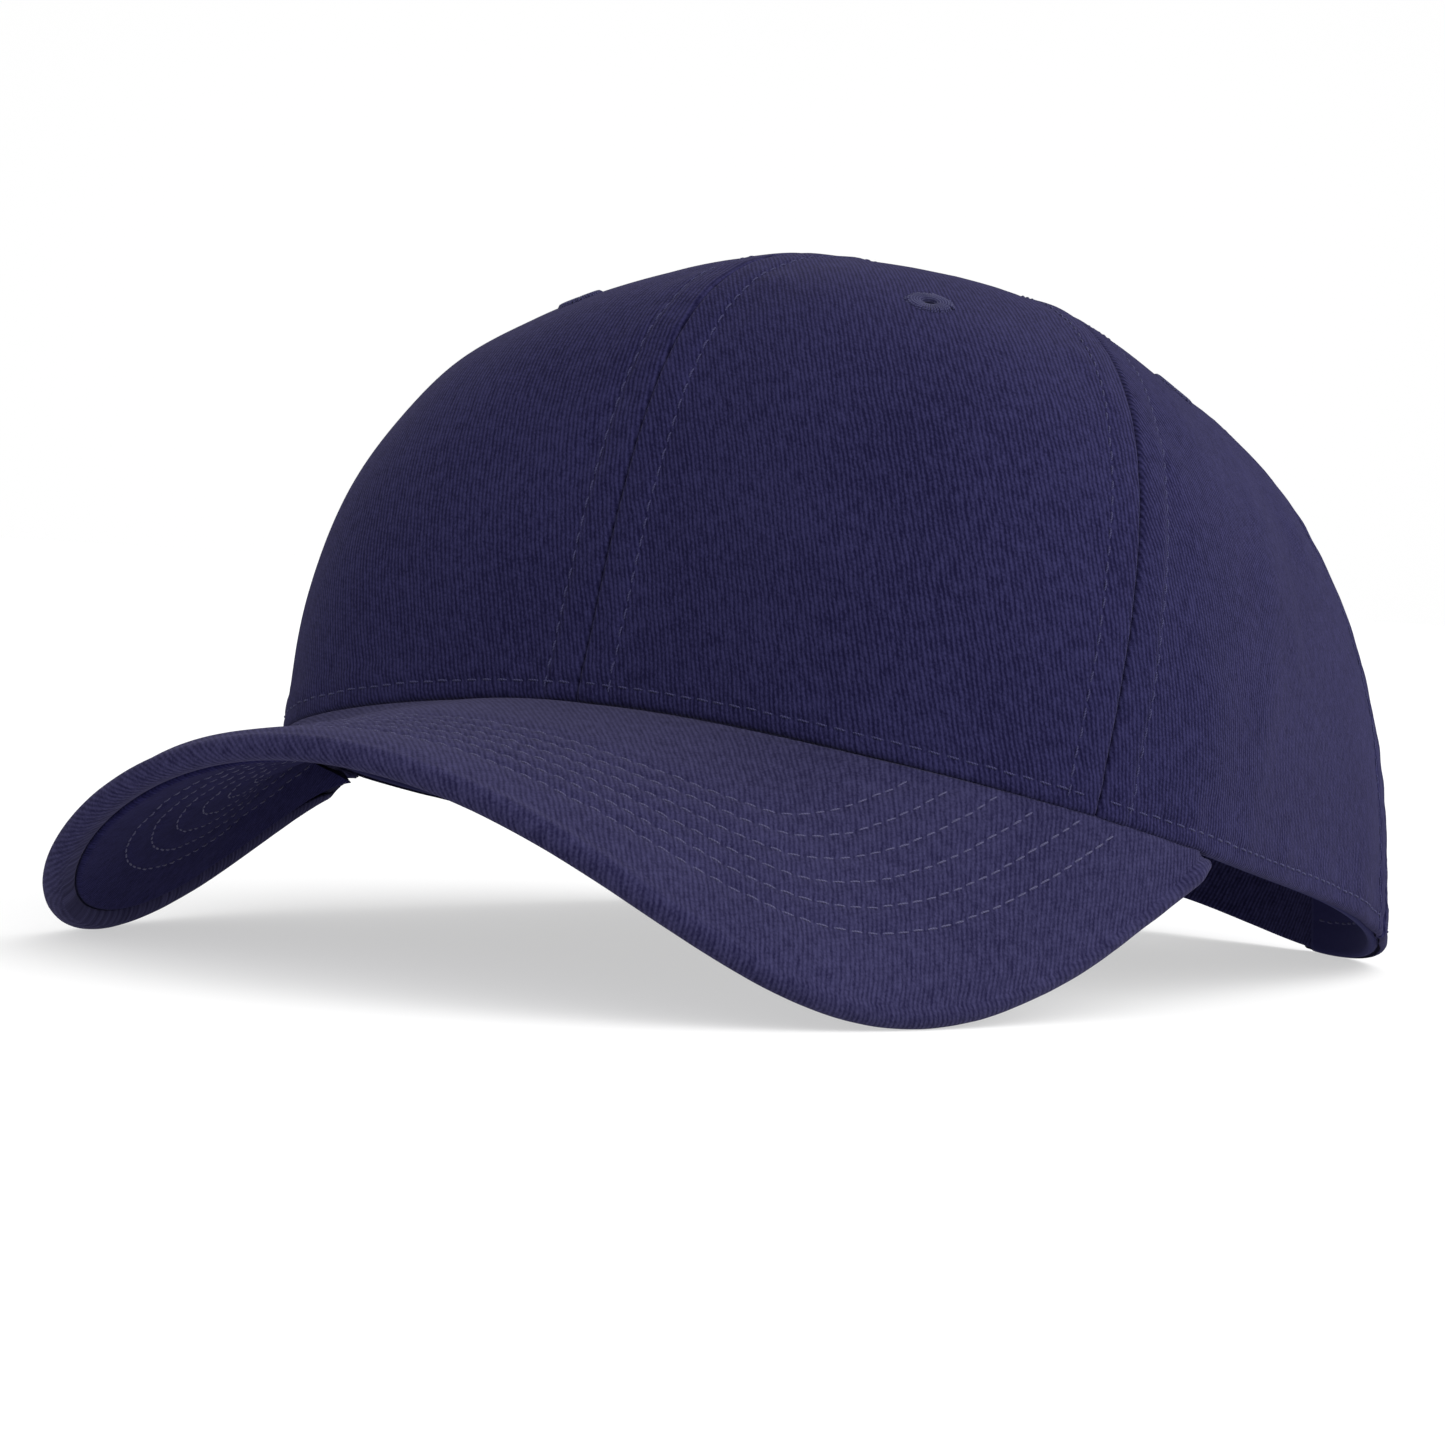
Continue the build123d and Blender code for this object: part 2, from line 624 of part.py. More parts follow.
BASE = 0.25
arc = [(BUTTON_R * np.sin(t), BASE + 0.9 + (BUTTON_H - 0.9) * np.cos(t)) for t in np.linspace(0, np.pi / 2, 9)]
inn = [((BUTTON_R - 0.8) * np.sin(t), BASE + 0.9 + (BUTTON_H - 1.7) * np.cos(t)) for t in np.linspace(0, np.pi / 2, 9)]
cover_pts = arc + [(BUTTON_R - 0.1, BASE + 0.2), (BUTTON_R - 0.8, BASE), (4.2, BASE), (4.2, BASE + 0.5), (BUTTON_R - 1.0, BASE + 0.55)] + inn[::-1]
cover_pts = [(float(a), float(b)) for a, b in cover_pts]
write("button_cover", turned(cover_pts))
inn2 = [((BUTTON_R - 0.86) * np.sin(t), BASE + 0.95 + (BUTTON_H - 1.82) * np.cos(t)) for t in np.linspace(0, np.pi / 2, 9)]
core_pts = inn2 + [(BUTTON_R - 1.1, BASE + 0.6), (2.6, BASE + 0.6), (2.6, BASE + 1.2), (0.0, BASE + 1.2)]
write("button_core", turned([(float(a), float(b)) for a, b in core_pts]))
rivet_pts = [(0, BASE + 1.1), (1.6, BASE + 1.1), (1.6, -2.75), (6.0, -2.75), (6.2, -3.2), (5.6, -3.6), (0, -3.6)]
write("button_rivet", turned(rivet_pts))

# ---- strap across the back opening ----
def strap(f0, f1, depth, t0, t1, tip0=0.0, tip1=0.0, n=27, grow=0.0):
    """Strip along the rim line between two angles; depth(phi) is its outer face's depth."""
    f = np.linspace(f0, f1, n)
    L = np.concatenate([[0], np.cumsum(np.linalg.norm(np.diff(rim(f), axis=0), axis=1))])
    half = np.full(n, STRAP_W / 2 - grow)
    for tip, dist in ((tip0, L), (tip1, L[-1] - L)):
        if tip:
            q = np.clip(1 - dist / tip, 0, 1)
            half = half - 5.0 * (1 - np.sqrt(1 - q ** 2))
    mid = STRAP_LOW + STRAP_W / 2
    out = []
    for t in (t0, t1):
        rows_ = []
        for k in (-1, -0.5, 0, 0.5, 1):
            u = u_at_height(f, mid + k * half)
            rows_.append(shell(f, u, depth(f) + t))
        out.append(np.stack(rows_, 1))
    return out


def deg(a):
    return np.radians(a)


F_EDGE = phi_at_x(ARCH_HALF)          # strap leaves the opening's edge here
flat = lambda f: np.full(f.shape, 0.0)
# inner tab: rooted inside the wearer's left edge, reaching past the middle
write("inner_strap_tab", slab(*strap(phi_at_x(46.5), np.pi + deg(15), lambda f: np.full(f.shape, 1.25) - 0.45 * np.clip((f - F_EDGE) / deg(8), 0, 1), 0.0, 0.5, tip1=6.0)))
write("loop_pad", slab(*strap(np.pi - deg(13), np.pi + deg(13), flat, -0.1, 0.7, tip0=4.0, tip1=4.0, grow=2.0, n=25)))
# outer tab: hinged at the wearer's right edge, lying over the inner one
R_EDGE = 2 * np.pi - phi_at_x(ARCH_HALF - 1.2)


def lift(f):
    q = np.clip((R_EDGE - f) / deg(10), 0, 1)
    return 0.9 - 3.3 * (3 * q ** 2 - 2 * q ** 3)


write("outer_strap_tab", slab(*strap(np.pi - deg(16), R_EDGE, lift, 0.0, 0.9, tip0=6.0)))
write("hook_pad", slab(*strap(np.pi - deg(12.5), np.pi + deg(12.5), flat, -1.42, -0.45, tip0=4.0, tip1=4.0, grow=2.0)))

hinge_f = R_EDGE + deg(0.2)
hu0, hu1 = u_at_height(hinge_f, STRAP_LOW)[0], u_at_height(hinge_f, STRAP_LOW + STRAP_W)[0]
h0, h1 = shell(hinge_f, hu0, 0.1), shell(hinge_f, hu1, 0.1)      # at the level of the panel's face, so the root clears its edge
print("hinge low", place(h0).round(3), "high", place(h1).round(3), "axis", _unit(place(h1) - place(h0)).round(5))
print("button", place(AP).round(3), place_dir(AN).round(4))
lo = np.min([tuple(b.min) for b in BOXES], axis=0)
hi = np.max([tuple(b.max) for b in BOXES], axis=0)
print("box", lo.round(3), hi.round(3), "size", (hi - lo).round(2), "centre", ((hi + lo) / 2).round(3))
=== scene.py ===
import bpy
import math
import numpy as np
from math import comb
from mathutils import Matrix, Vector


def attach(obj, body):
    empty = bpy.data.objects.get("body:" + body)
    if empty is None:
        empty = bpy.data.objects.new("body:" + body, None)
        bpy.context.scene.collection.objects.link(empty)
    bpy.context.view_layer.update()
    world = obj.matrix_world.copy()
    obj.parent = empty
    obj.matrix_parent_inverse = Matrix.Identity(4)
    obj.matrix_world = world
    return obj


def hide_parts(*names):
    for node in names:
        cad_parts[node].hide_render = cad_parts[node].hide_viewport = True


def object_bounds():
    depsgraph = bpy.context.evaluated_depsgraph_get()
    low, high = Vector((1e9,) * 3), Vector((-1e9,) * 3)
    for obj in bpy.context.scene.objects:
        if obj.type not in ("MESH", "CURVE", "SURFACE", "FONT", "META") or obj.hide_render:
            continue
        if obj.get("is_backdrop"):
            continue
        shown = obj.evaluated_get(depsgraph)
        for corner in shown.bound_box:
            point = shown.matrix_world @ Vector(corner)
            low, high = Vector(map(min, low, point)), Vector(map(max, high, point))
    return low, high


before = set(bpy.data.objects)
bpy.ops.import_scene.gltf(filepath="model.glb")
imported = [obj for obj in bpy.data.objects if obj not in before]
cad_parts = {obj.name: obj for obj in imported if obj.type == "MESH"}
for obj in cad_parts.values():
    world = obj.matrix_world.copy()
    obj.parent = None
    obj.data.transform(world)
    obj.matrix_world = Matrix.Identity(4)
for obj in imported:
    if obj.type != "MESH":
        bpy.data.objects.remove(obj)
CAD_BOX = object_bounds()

# =====================================================================
# shape of the cap, millimetres, wearer's frame (same numbers as the CAD)
# =====================================================================
# ---- driving dimensions (millimetres, degrees) ----
CROWN_HALF_WIDTH = 88.7      # plan half-width term of the rim curve
CROWN_HALF_LENGTH = 103.5    # plan half-length term of the rim curve
EGG, SQUARE = 0.108, 0.064   # plan shape: narrower at the back, slightly square
SEAM_1, SEAM_2 = 52.0, 118.3 # seam angles from the centre front
SEAM_1_BOW = 3.3             # degrees that the front side seam bows backwards
VISOR_HALF_ANGLE = 68.8      # angle of each visor corner
RIM_Z = (12.454, 8.35, 1.664, -1.798, -6.803, -7.936, 0.0)  # rim height at 0, 30 ... 180 degrees
APEX_Y, APEX_Z = 17.7, 97.2  # button point above the rim
LAM = (-0.47, 1.708, -4.96, -3.569)   # wall lean at the rim, cosine series
LEN1 = (68.351, 8.586, -2.444, -2.068)
LEN2 = (62.154, 15.053, 17.095, 3.566)
TAU = (3.408, -4.738, -1.508)
PANEL_FLATTEN = -1.25        # panels lie this much inside the round shape between seams
VISOR_EDGE = ((0.0, -163.36, -2.5), (28.07, -163.36, -2.5), (83.44, -151.66, -12.93),
              (73.65, -134.8, -77.91), (90.03, -61.32, -0.63))  # control points of the edge centre line
VISOR_THICK = 4.0

import numpy as np
from math import comb

_K = np.radians([0, 30, 60, 90, 120, 150, 180])
_ZC = np.linalg.solve(np.cos(np.outer(_K, np.arange(7))), np.array(RIM_Z))


def rim(phi):
    """Crown's lower edge, as seen from outside, at an angle from the centre front."""
    phi = np.asarray(phi, float)
    s, c = np.sin(phi), np.cos(phi)
    q = 1 - SQUARE * np.cos(4 * phi)
    z = sum(_ZC[k] * np.cos(k * phi) for k in range(7))
    return np.stack([CROWN_HALF_WIDTH * s * (1 + EGG * c) * q, -CROWN_HALF_LENGTH * c * q, z], -1)


def crown(phi, u):
    """Outer surface of the crown: u is 0 at the rim and 1 at the button."""
    phi, u = np.broadcast_arrays(np.asarray(phi, float), np.asarray(u, float))
    P = rim(phi)
    T = np.array([0.0, APEX_Y, APEX_Z])
    d = P[..., :2] - T[:2]
    h = d / np.linalg.norm(d, axis=-1, keepdims=True)
    cs = [np.cos(k * phi) for k in range(4)]
    lam = np.radians(sum(a * b for a, b in zip(LAM, cs)))
    l1 = sum(a * b for a, b in zip(LEN1, cs))
    l2 = sum(a * b for a, b in zip(LEN2, cs))
    tau = np.radians(sum(a * b for a, b in zip(TAU, cs)))
    P1 = P + np.concatenate([h * (l1 * np.sin(lam))[..., None], (l1 * np.cos(lam))[..., None]], -1)
    P2 = T + np.concatenate([h * (l2 * np.cos(tau))[..., None], -(l2 * np.sin(tau))[..., None]], -1)
    a = np.abs((phi + np.pi) % (2 * np.pi) - np.pi)
    k = np.radians([0, SEAM_1, SEAM_2, 180.0])
    j = np.clip(np.searchsorted(k, a, side="right") - 1, 0, 2)
    w = (a - k[j]) / (k[j + 1] - k[j])
    bl = PANEL_FLATTEN * np.sin(np.pi * w) * np.sin(np.pi * np.clip(u, 0, 1))
    t = u[..., None]
    X = (1 - t) ** 3 * P + 3 * (1 - t) ** 2 * t * P1 + 3 * (1 - t) * t ** 2 * P2 + t ** 3 * T
    n = np.concatenate([h * np.cos(u * np.pi / 2)[..., None], np.sin(u * np.pi / 2)[..., None]], -1)
    return X + n * bl[..., None]


def _unit(v):
    return v / np.maximum(np.linalg.norm(v, axis=-1, keepdims=True), 1e-12)


def crown_normal(phi, u):
    e = 1e-3
    phi, u = np.broadcast_arrays(np.asarray(phi, float), np.asarray(u, float))
    uc = np.clip(u, 0.002, 0.985)
    dp = crown(phi + 8 * e, uc) - crown(phi - 8 * e, uc)
    du = crown(phi, uc + e) - crown(phi, uc - e)
    return _unit(np.cross(dp, du))


def shell(phi, u, d=0.0):
    """Point d millimetres inside the crown's outer surface."""
    return crown(phi, u) - np.asarray(d, float)[..., None] * crown_normal(phi, u)


def seam1(u):
    return np.radians(SEAM_1 + SEAM_1_BOW * 4 * u * (1 - u))


def visor_edge(t):
    """Centre line of the visor's rounded edge, t from -1 (wearer's right corner) to 1."""
    t = np.asarray(t, float)
    C = np.array(VISOR_EDGE + (tuple(rim(np.radians(VISOR_HALF_ANGLE))),), float)
    q = np.abs(t)[..., None]
    B = sum(comb(5, k) * (1 - q) ** (5 - k) * q ** k * C[k] for k in range(6))
    B = B.copy()
    B[..., 0] *= np.where(t < 0, -1.0, 1.0)
    return B


_tt = np.linspace(0, 1, 801)
_el = np.concatenate([[0], np.cumsum(np.linalg.norm(np.diff(visor_edge(_tt), axis=0), axis=1))])
_rt = np.linspace(0, 1, 801)
_rl = np.concatenate([[0], np.cumsum(np.linalg.norm(np.diff(rim(np.radians(VISOR_HALF_ANGLE) * _rt), axis=0), axis=1))])


def _edge_at(s):
    s = np.asarray(s, float)
    return visor_edge(np.sign(s) * np.interp(np.abs(s) * _el[-1], _el, _tt))


def _rim_at(s):
    s = np.asarray(s, float)
    return rim(np.radians(VISOR_HALF_ANGLE) * np.sign(s) * np.interp(np.abs(s) * _rl[-1], _rl, _rt))


def _rim_out(s):
    s = np.asarray(s, float)
    f = np.radians(VISOR_HALF_ANGLE) * np.sign(s) * np.interp(np.abs(s) * _rl[-1], _rl, _rt)
    return crown_normal(f, 0.01)


def visor_mid(s, v):
    """Middle of the visor board: v is 0 at the crown and 1 at the edge's centre line."""
    s, v = np.broadcast_arrays(np.asarray(s, float), np.asarray(v, float))
    e = 2e-3
    R, E = _rim_at(s), _edge_at(s)
    n = _unit(np.cross(_rim_at(s + e) - _rim_at(s - e), R - E))
    n = n * np.where(n[..., 2:] < 0, -1, 1)
    R = R - n * (VISOR_THICK / 2) + 0.35 * _rim_out(s) - np.array([0, 0, 0.2])
    return R + (E - R) * v[..., None]


def visor_normal(s, v):
    e = 2e-3
    s, v = np.broadcast_arrays(np.asarray(s, float), np.asarray(v, float))
    sc = np.clip(s, -0.985, 0.985)
    n = np.cross(visor_mid(sc + e, v) - visor_mid(sc - e, v), visor_mid(sc, v) - visor_mid(sc, v + 0.01))
    n = _unit(n)
    return n * np.where(n[..., 2:] < 0, -1, 1)


def visor(s, v, h):
    """Point h millimetres above the visor's middle surface."""
    return visor_mid(s, v) + np.asarray(h, float)[..., None] * visor_normal(s, v)


TILT = 6.513
SHIFT = (0.0, 32.75, 19.17)


def place(P):
    P = np.asarray(P, float)
    c, s = np.cos(np.radians(TILT)), np.sin(np.radians(TILT))
    y = P[..., 1] * c + P[..., 2] * s
    z = -P[..., 1] * s + P[..., 2] * c
    return np.stack([P[..., 0] + SHIFT[0], y + SHIFT[1], z + SHIFT[2]], -1)


def sstep(x, a, b):
    t = np.clip((np.asarray(x, float) - a) / (b - a), 0, 1)
    return t * t * (3 - 2 * t)


def gauss(x, c, w):
    return np.exp(-((np.asarray(x, float) - c) / w) ** 2)


def wob(P, wl, seed, n=20):
    """Smooth seeded noise, about unit variance, at a wavelength of wl millimetres."""
    rng = np.random.default_rng(seed)
    d = _unit(rng.normal(size=(n, 3))) * (2 * np.pi / (wl * rng.uniform(0.7, 1.6, n)))[:, None]
    ph = rng.uniform(0, 2 * np.pi, n)
    out = np.zeros(np.shape(P)[:-1])
    for k in range(n):
        out += np.sin(P @ d[k] + ph[k])
    return out / math.sqrt(n / 2)


def beside(phi, u, mm):
    e = 1e-3
    g = np.linalg.norm(crown(phi + e, u) - crown(phi - e, u), axis=-1) / (2 * e)
    return phi + mm / np.maximum(g, 1.0)


def radial(phi, u):
    p = crown(phi, u)
    return np.hypot(p[..., 0], p[..., 1] - APEX_Y)


def arc_table(f0, f1, n=81, m=401, lo=0.0, hi=1.0):
    f = np.linspace(f0, f1, n)
    u = np.linspace(lo, hi, m)
    X = crown(f[:, None], u[None])
    L = np.concatenate([np.zeros((n, 1)), np.cumsum(np.linalg.norm(np.diff(X, axis=1), axis=-1), axis=1)], 1)
    return f, u, L


def u_from_arc(tab, phi, s):
    """u where the arc from the rim is s, for arrays of the same shape."""
    f, u, L = tab
    x = np.clip((phi - f[0]) / (f[1] - f[0]), 0, len(f) - 1.001)
    i = x.astype(int)
    w = x - i
    out = np.zeros(phi.shape)
    for k in np.unique(i):
        m = i == k
        a = np.interp(s[m], L[k], u)
        b = np.interp(s[m], L[k + 1], u)
        out[m] = a * (1 - w[m]) + b * w[m]
    return out


def arc_from_u(tab, phi, uu):
    f, u, L = tab
    x = np.clip((phi - f[0]) / (f[1] - f[0]), 0, len(f) - 1.001)
    i = x.astype(int)
    w = x - i
    out = np.zeros(phi.shape)
    for k in np.unique(i):
        m = i == k
        out[m] = np.interp(uu[m], u, L[k]) * (1 - w[m]) + np.interp(uu[m], u, L[k + 1]) * w[m]
    return out


# =====================================================================
# mesh helpers
# =====================================================================
def build(name, P, quads, tris=(), uv=None, mats=(), body="cap", smooth=True, fmat=None):
    """A mesh piece from points in millimetres of the resting frame."""
    me = bpy.data.meshes.new(name)
    P = np.asarray(P, float) * 0.001
    quads = np.asarray(quads, int).reshape(-1, 4)
    tris = np.asarray(tris, int).reshape(-1, 3)
    nq, nt = len(quads), len(tris)
    me.vertices.add(len(P))
    me.vertices.foreach_set("co", P.ravel())
    loops = np.concatenate([quads.ravel(), tris.ravel()])
    me.loops.add(len(loops))
    me.loops.foreach_set("vertex_index", loops)
    me.polygons.add(nq + nt)
    me.polygons.foreach_set("loop_start", np.concatenate([np.arange(nq) * 4, nq * 4 + np.arange(nt) * 3]))
    if fmat is not None:
        me.polygons.foreach_set("material_index", np.asarray(fmat, int))
    me.update(calc_edges=True)
    me.validate()
    if uv is not None:
        lay = me.uv_layers.new(name="weave")
        vi = np.zeros(len(me.loops), int)
        me.loops.foreach_get("vertex_index", vi)
        lay.data.foreach_set("uv", (np.asarray(uv, float)[vi] * 0.01).ravel())
    me.polygons.foreach_set("use_smooth", np.full(len(me.polygons), bool(smooth)))
    me.update()
    o = bpy.data.objects.new(name, me)
    bpy.context.scene.collection.objects.link(o)
    for m in mats:
        me.materials.append(m)
    if body:
        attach(o, body)
    return o


def grid_quads(n, m, base=0, flip=False):
    i, j = np.meshgrid(np.arange(n - 1), np.arange(m - 1), indexing="ij")
    a = base + i * m + j
    q = np.stack([a, a + 1, a + m + 1, a + m], -1).reshape(-1, 4)
    return q[:, ::-1] if flip else q


def closed_sheet(outer, inner, quads, uv, uv_in=None):
    """Closed skin from an outer and an inner copy of the same sheet: points, quads, uv."""
    n = len(outer)
    q_in = quads[:, ::-1] + n
    e = np.concatenate([quads[:, [0, 1]], quads[:, [1, 2]], quads[:, [2, 3]], quads[:, [3, 0]]])
    key = np.sort(e, 1)
    code = key[:, 0].astype(np.int64) * (n + 1) + key[:, 1]
    _, first, cnt = np.unique(code, return_index=True, return_counts=True)
    b = e[first[cnt == 1]]
    side = np.stack([b[:, 1], b[:, 0], b[:, 0] + n, b[:, 1] + n], 1)
    P = np.concatenate([outer, inner])
    U = np.concatenate([uv, uv if uv_in is None else uv_in])
    return P, np.concatenate([quads, q_in, side]), U


def compact(P, quads, *extra):
    used = np.unique(quads)
    m = np.full(len(P), -1)
    m[used] = np.arange(len(used))
    return (P[used], m[quads]) + tuple(x[used] for x in extra)


def orient(P, quads, ref):
    """Flip all faces if they look away from the reference normals."""
    a, b, c = P[quads[:, 0]], P[quads[:, 1]], P[quads[:, 2]]
    n = np.cross(b - a, c - b)
    if (n * ref[quads[:, 0]]).sum() < 0:
        return quads[:, ::-1]
    return quads


def resample(P, step=None, n=None):
    L = np.concatenate([[0], np.cumsum(np.linalg.norm(np.diff(P, axis=0), axis=1))])
    n = n or max(2, int(round(L[-1] / step)) + 1)
    q = np.linspace(0, L[-1], n)
    return np.stack([np.interp(q, L, P[:, k]) for k in range(3)], -1)


class Threads:
    """Collects separate stitches into one mesh."""

    def __init__(self):
        self.P, self.Q, self.T, self.U, self.n = [], [], [], [], 0

    def tube(self, C, N, r, flat=0.8, sides=7):
        """One stitch: C centre points, N normals, r radii."""
        k = len(C)
        T = _unit(np.gradient(C, axis=0))
        B = _unit(np.cross(T, N))
        Nn = np.cross(B, T)
        a = np.arange(sides) / sides * 2 * np.pi
        ring = C[:, None] + r[:, None, None] * (B[:, None] * np.cos(a)[None, :, None] + flat * Nn[:, None] * np.sin(a)[None, :, None])
        P = np.concatenate([ring.reshape(-1, 3), C[:1] - T[:1] * r[0] * 0.6, C[-1:] + T[-1:] * r[-1] * 0.6])
        i, j = np.meshgrid(np.arange(k - 1), np.arange(sides), indexing="ij")
        j2 = (j + 1) % sides
        Q = np.stack([i * sides + j, (i + 1) * sides + j, (i + 1) * sides + j2, i * sides + j2], -1).reshape(-1, 4)
        s = np.arange(sides)
        s2 = (s + 1) % sides
        e = k * sides
        Tt = np.concatenate([np.stack([np.full(sides, e), s, s2], 1), np.stack([np.full(sides, e + 1), (k - 1) * sides + s2, (k - 1) * sides + s], 1)])
        L = np.concatenate([[0], np.cumsum(np.linalg.norm(np.diff(C, axis=0), axis=1))])
        U = np.concatenate([np.stack([np.repeat(L, sides), np.tile(np.arange(sides) * 0.25, k)], 1), [[L[0], 0], [L[-1], 0]]])
        self.P.append(P); self.Q.append(Q + self.n); self.T.append(Tt + self.n); self.U.append(U)
        self.n += len(P)

    def run(self, C, N, pitch=3.0, fill=0.8, r=0.24, lift=0.02, sink=0.22, s0=0.0, seed=1, rings=7, jitter=0.05, sides=7):
        """Stitches along a path; they dive at both ends."""
        rng = np.random.default_rng(seed)
        L = np.concatenate([[0], np.cumsum(np.linalg.norm(np.diff(C, axis=0), axis=1))])
        n = int((L[-1] - s0) / pitch)
        t = np.linspace(-1, 1, rings)
        bow = lift - (sink + lift) * np.abs(t) ** 2.6
        rr = r * (1 - 0.45 * np.abs(t) ** 3)
        for k in range(n):
            c = s0 + (k + 0.5) * pitch + rng.normal() * jitter * 0.6
            half = pitch * fill / 2 * (1 + rng.normal() * 0.03)
            q = c + half * t
            X = np.stack([np.interp(q, L, C[:, d]) for d in range(3)], -1)
            Nn = _unit(np.stack([np.interp(q, L, N[:, d]) for d in range(3)], -1))
            side = np.cross(_unit(np.gradient(X, axis=0)), Nn)
            X = X + Nn * (bow + rng.normal() * 0.015)[:, None] + side * (rng.normal() * jitter + 0.05 * t[:, None])
            self.tube(X, Nn, rr * (1 + rng.normal() * 0.04), sides=sides)

    def make(self, name, mat, body="cap", slot="sewing_thread"):
        return build(name, place(np.concatenate(self.P)), np.concatenate(self.Q), np.concatenate(self.T), np.concatenate(self.U), [mat], body)


def normals_of(P, quads):
    """Vertex normals of a sheet."""
    a, b, c, d = (P[quads[:, k]] for k in range(4))
    n = np.cross(c - a, d - b)
    out = np.zeros_like(P)
    for k in range(4):
        np.add.at(out, quads[:, k], n)
    return _unit(out)

# =====================================================================
# crown panels
# =====================================================================
SEAMS = {"c": lambda u: 0 * u, "f": seam1, "r": lambda u: 0 * u + np.radians(SEAM_2), "b": lambda u: 0 * u + np.pi}
RING_R = 3.4
PANEL_T = 0.62
TOPSTITCH = 6.0
HEM = 3.0
STITCH = 3.0
ARCH_HALF, ARCH_TOP, ARCH_BASE = 43.0, 50.0, -4.0
NEAR = np.array([0, .06, .14, .25, .4, .6, .85, 1.15, 1.55, 2.1, 2.8, 3.6, 4.3, 4.9, 5.3, 5.6, 5.85, 6.05, 6.3, 6.6, 7.0, 7.6, 8.5])
EYES = {"front": (np.radians(29.0), 0.54)}


def u_from_apex(phi, arc):
    uu = np.linspace(0, 1, 801)
    L = np.cumsum(np.linalg.norm(np.diff(crown(phi, uu), axis=0), axis=1)[::-1])[::-1]
    return float(np.interp(-arc, -L, uu[:-1]))


EYES["side"] = (np.radians(85.0), u_from_apex(np.radians(85.0), 52.0))
EYES["back"] = (np.radians(149.0), u_from_apex(np.radians(149.0), 52.0))


def u_at_radius(phi, r):
    uu = np.linspace(0.4, 1, 601)
    phi = np.atleast_1d(phi)
    return np.array([np.interp(-r, -radial(f, uu), uu) for f in phi])


def on_back(x, z):
    """(phi, u) of the crown's back surface at a given x and z of the wearer's frame."""
    phi = np.pi - np.arcsin(np.clip(x / 84.0, -1, 1))
    u = np.clip((z + 5) / 150.0, 0.0, 0.9)
    for _ in range(40):
        p = crown(phi, u)
        e = 1e-4
        a = (crown(phi + e, u) - p) / e
        b = (crown(phi, u + e) - p) / e
        rx, rz = x - p[..., 0], z - p[..., 2]
        det = a[..., 0] * b[..., 2] - b[..., 0] * a[..., 2]
        phi = phi + (rx * b[..., 2] - b[..., 0] * rz) / det
        u = u + (a[..., 0] * rz - rx * a[..., 2]) / det
    return phi, u


def arch_distance(P):
    """Signed distance outside the back opening's outline, in the plane seen from behind."""
    w, t = ARCH_HALF, ARCH_TOP - ARCH_BASE
    a = np.linspace(0, np.pi, 721)
    ox, oz = w * np.cos(a), ARCH_BASE + t * np.sin(a)
    low = np.linspace(ARCH_BASE, -30, 60)[1:]
    ox = np.concatenate([np.full(59, w), ox, np.full(59, -w)])
    oz = np.concatenate([low[::-1], oz, low])
    x, z = P[..., 0].ravel(), P[..., 2].ravel()
    d = np.empty(len(x))
    for k in range(0, len(x), 4000):
        d[k:k + 4000] = np.sqrt(((x[k:k + 4000, None] - ox) ** 2 + (z[k:k + 4000, None] - oz) ** 2).min(1))
    inside = np.where(z > ARCH_BASE, (x / w) ** 2 + ((z - ARCH_BASE) / t) ** 2 < 1, np.abs(x) < w)
    return np.where(inside, -d, d).reshape(P.shape[:-1])


def roll(t, r):
    """How far a folded edge of radius r falls back at distance t from its end."""
    q = np.clip(1 - t / r, 0, 1)
    return r * (1 - np.sqrt(np.maximum(1 - q * q, 0)))


def pucker(s, seed, pitch=STITCH):
    """Uneven pull of the stitches along a row, 0..1."""
    rng = np.random.default_rng(seed)
    n = int(s.max() / pitch) + 4
    k = s / pitch
    amp = rng.uniform(0.45, 1.0, n + 2)
    i = np.clip(k.astype(int), 0, n)
    return (0.5 - 0.5 * np.cos(2 * np.pi * k)) * amp[i]


def long_waves(P, kind):
    """Soft unevenness of the cloth, millimetres outward."""
    if kind == "front":
        w = 0.30 * wob(P, 62, 11) + 0.13 * wob(P, 24, 12)
        return np.maximum(w + 0.35, -0.05)
    # sides and back: softer cloth, with upright folds
    Q = P * np.array([1, 1, 0.34])
    w = 0.75 * wob(P, 70, 21 if kind == "side" else 31) + 0.42 * wob(Q, 22, 22 if kind == "side" else 32) + 0.12 * wob(P, 11, 23)
    # the cloth bulges freely outward, but the layers behind hold it from sinking in
    return 0.5 * (w + np.sqrt(w * w + 0.04)) - 0.10


def panel_rows(L):
    low = np.array([0, .05, .12, .22, .35, .5, .7, .95, 1.3, 1.7, 2.1, 2.5, 2.8, 3.0, 3.2, 3.5, 3.9, 4.5, 5.2, 6.0, 7.0, 8.0, 8.8])
    n = int((L - 8.8) / (1.15))
    return np.concatenate([low, np.linspace(8.8, L, n + 1)[1:]])


PANEL = {}


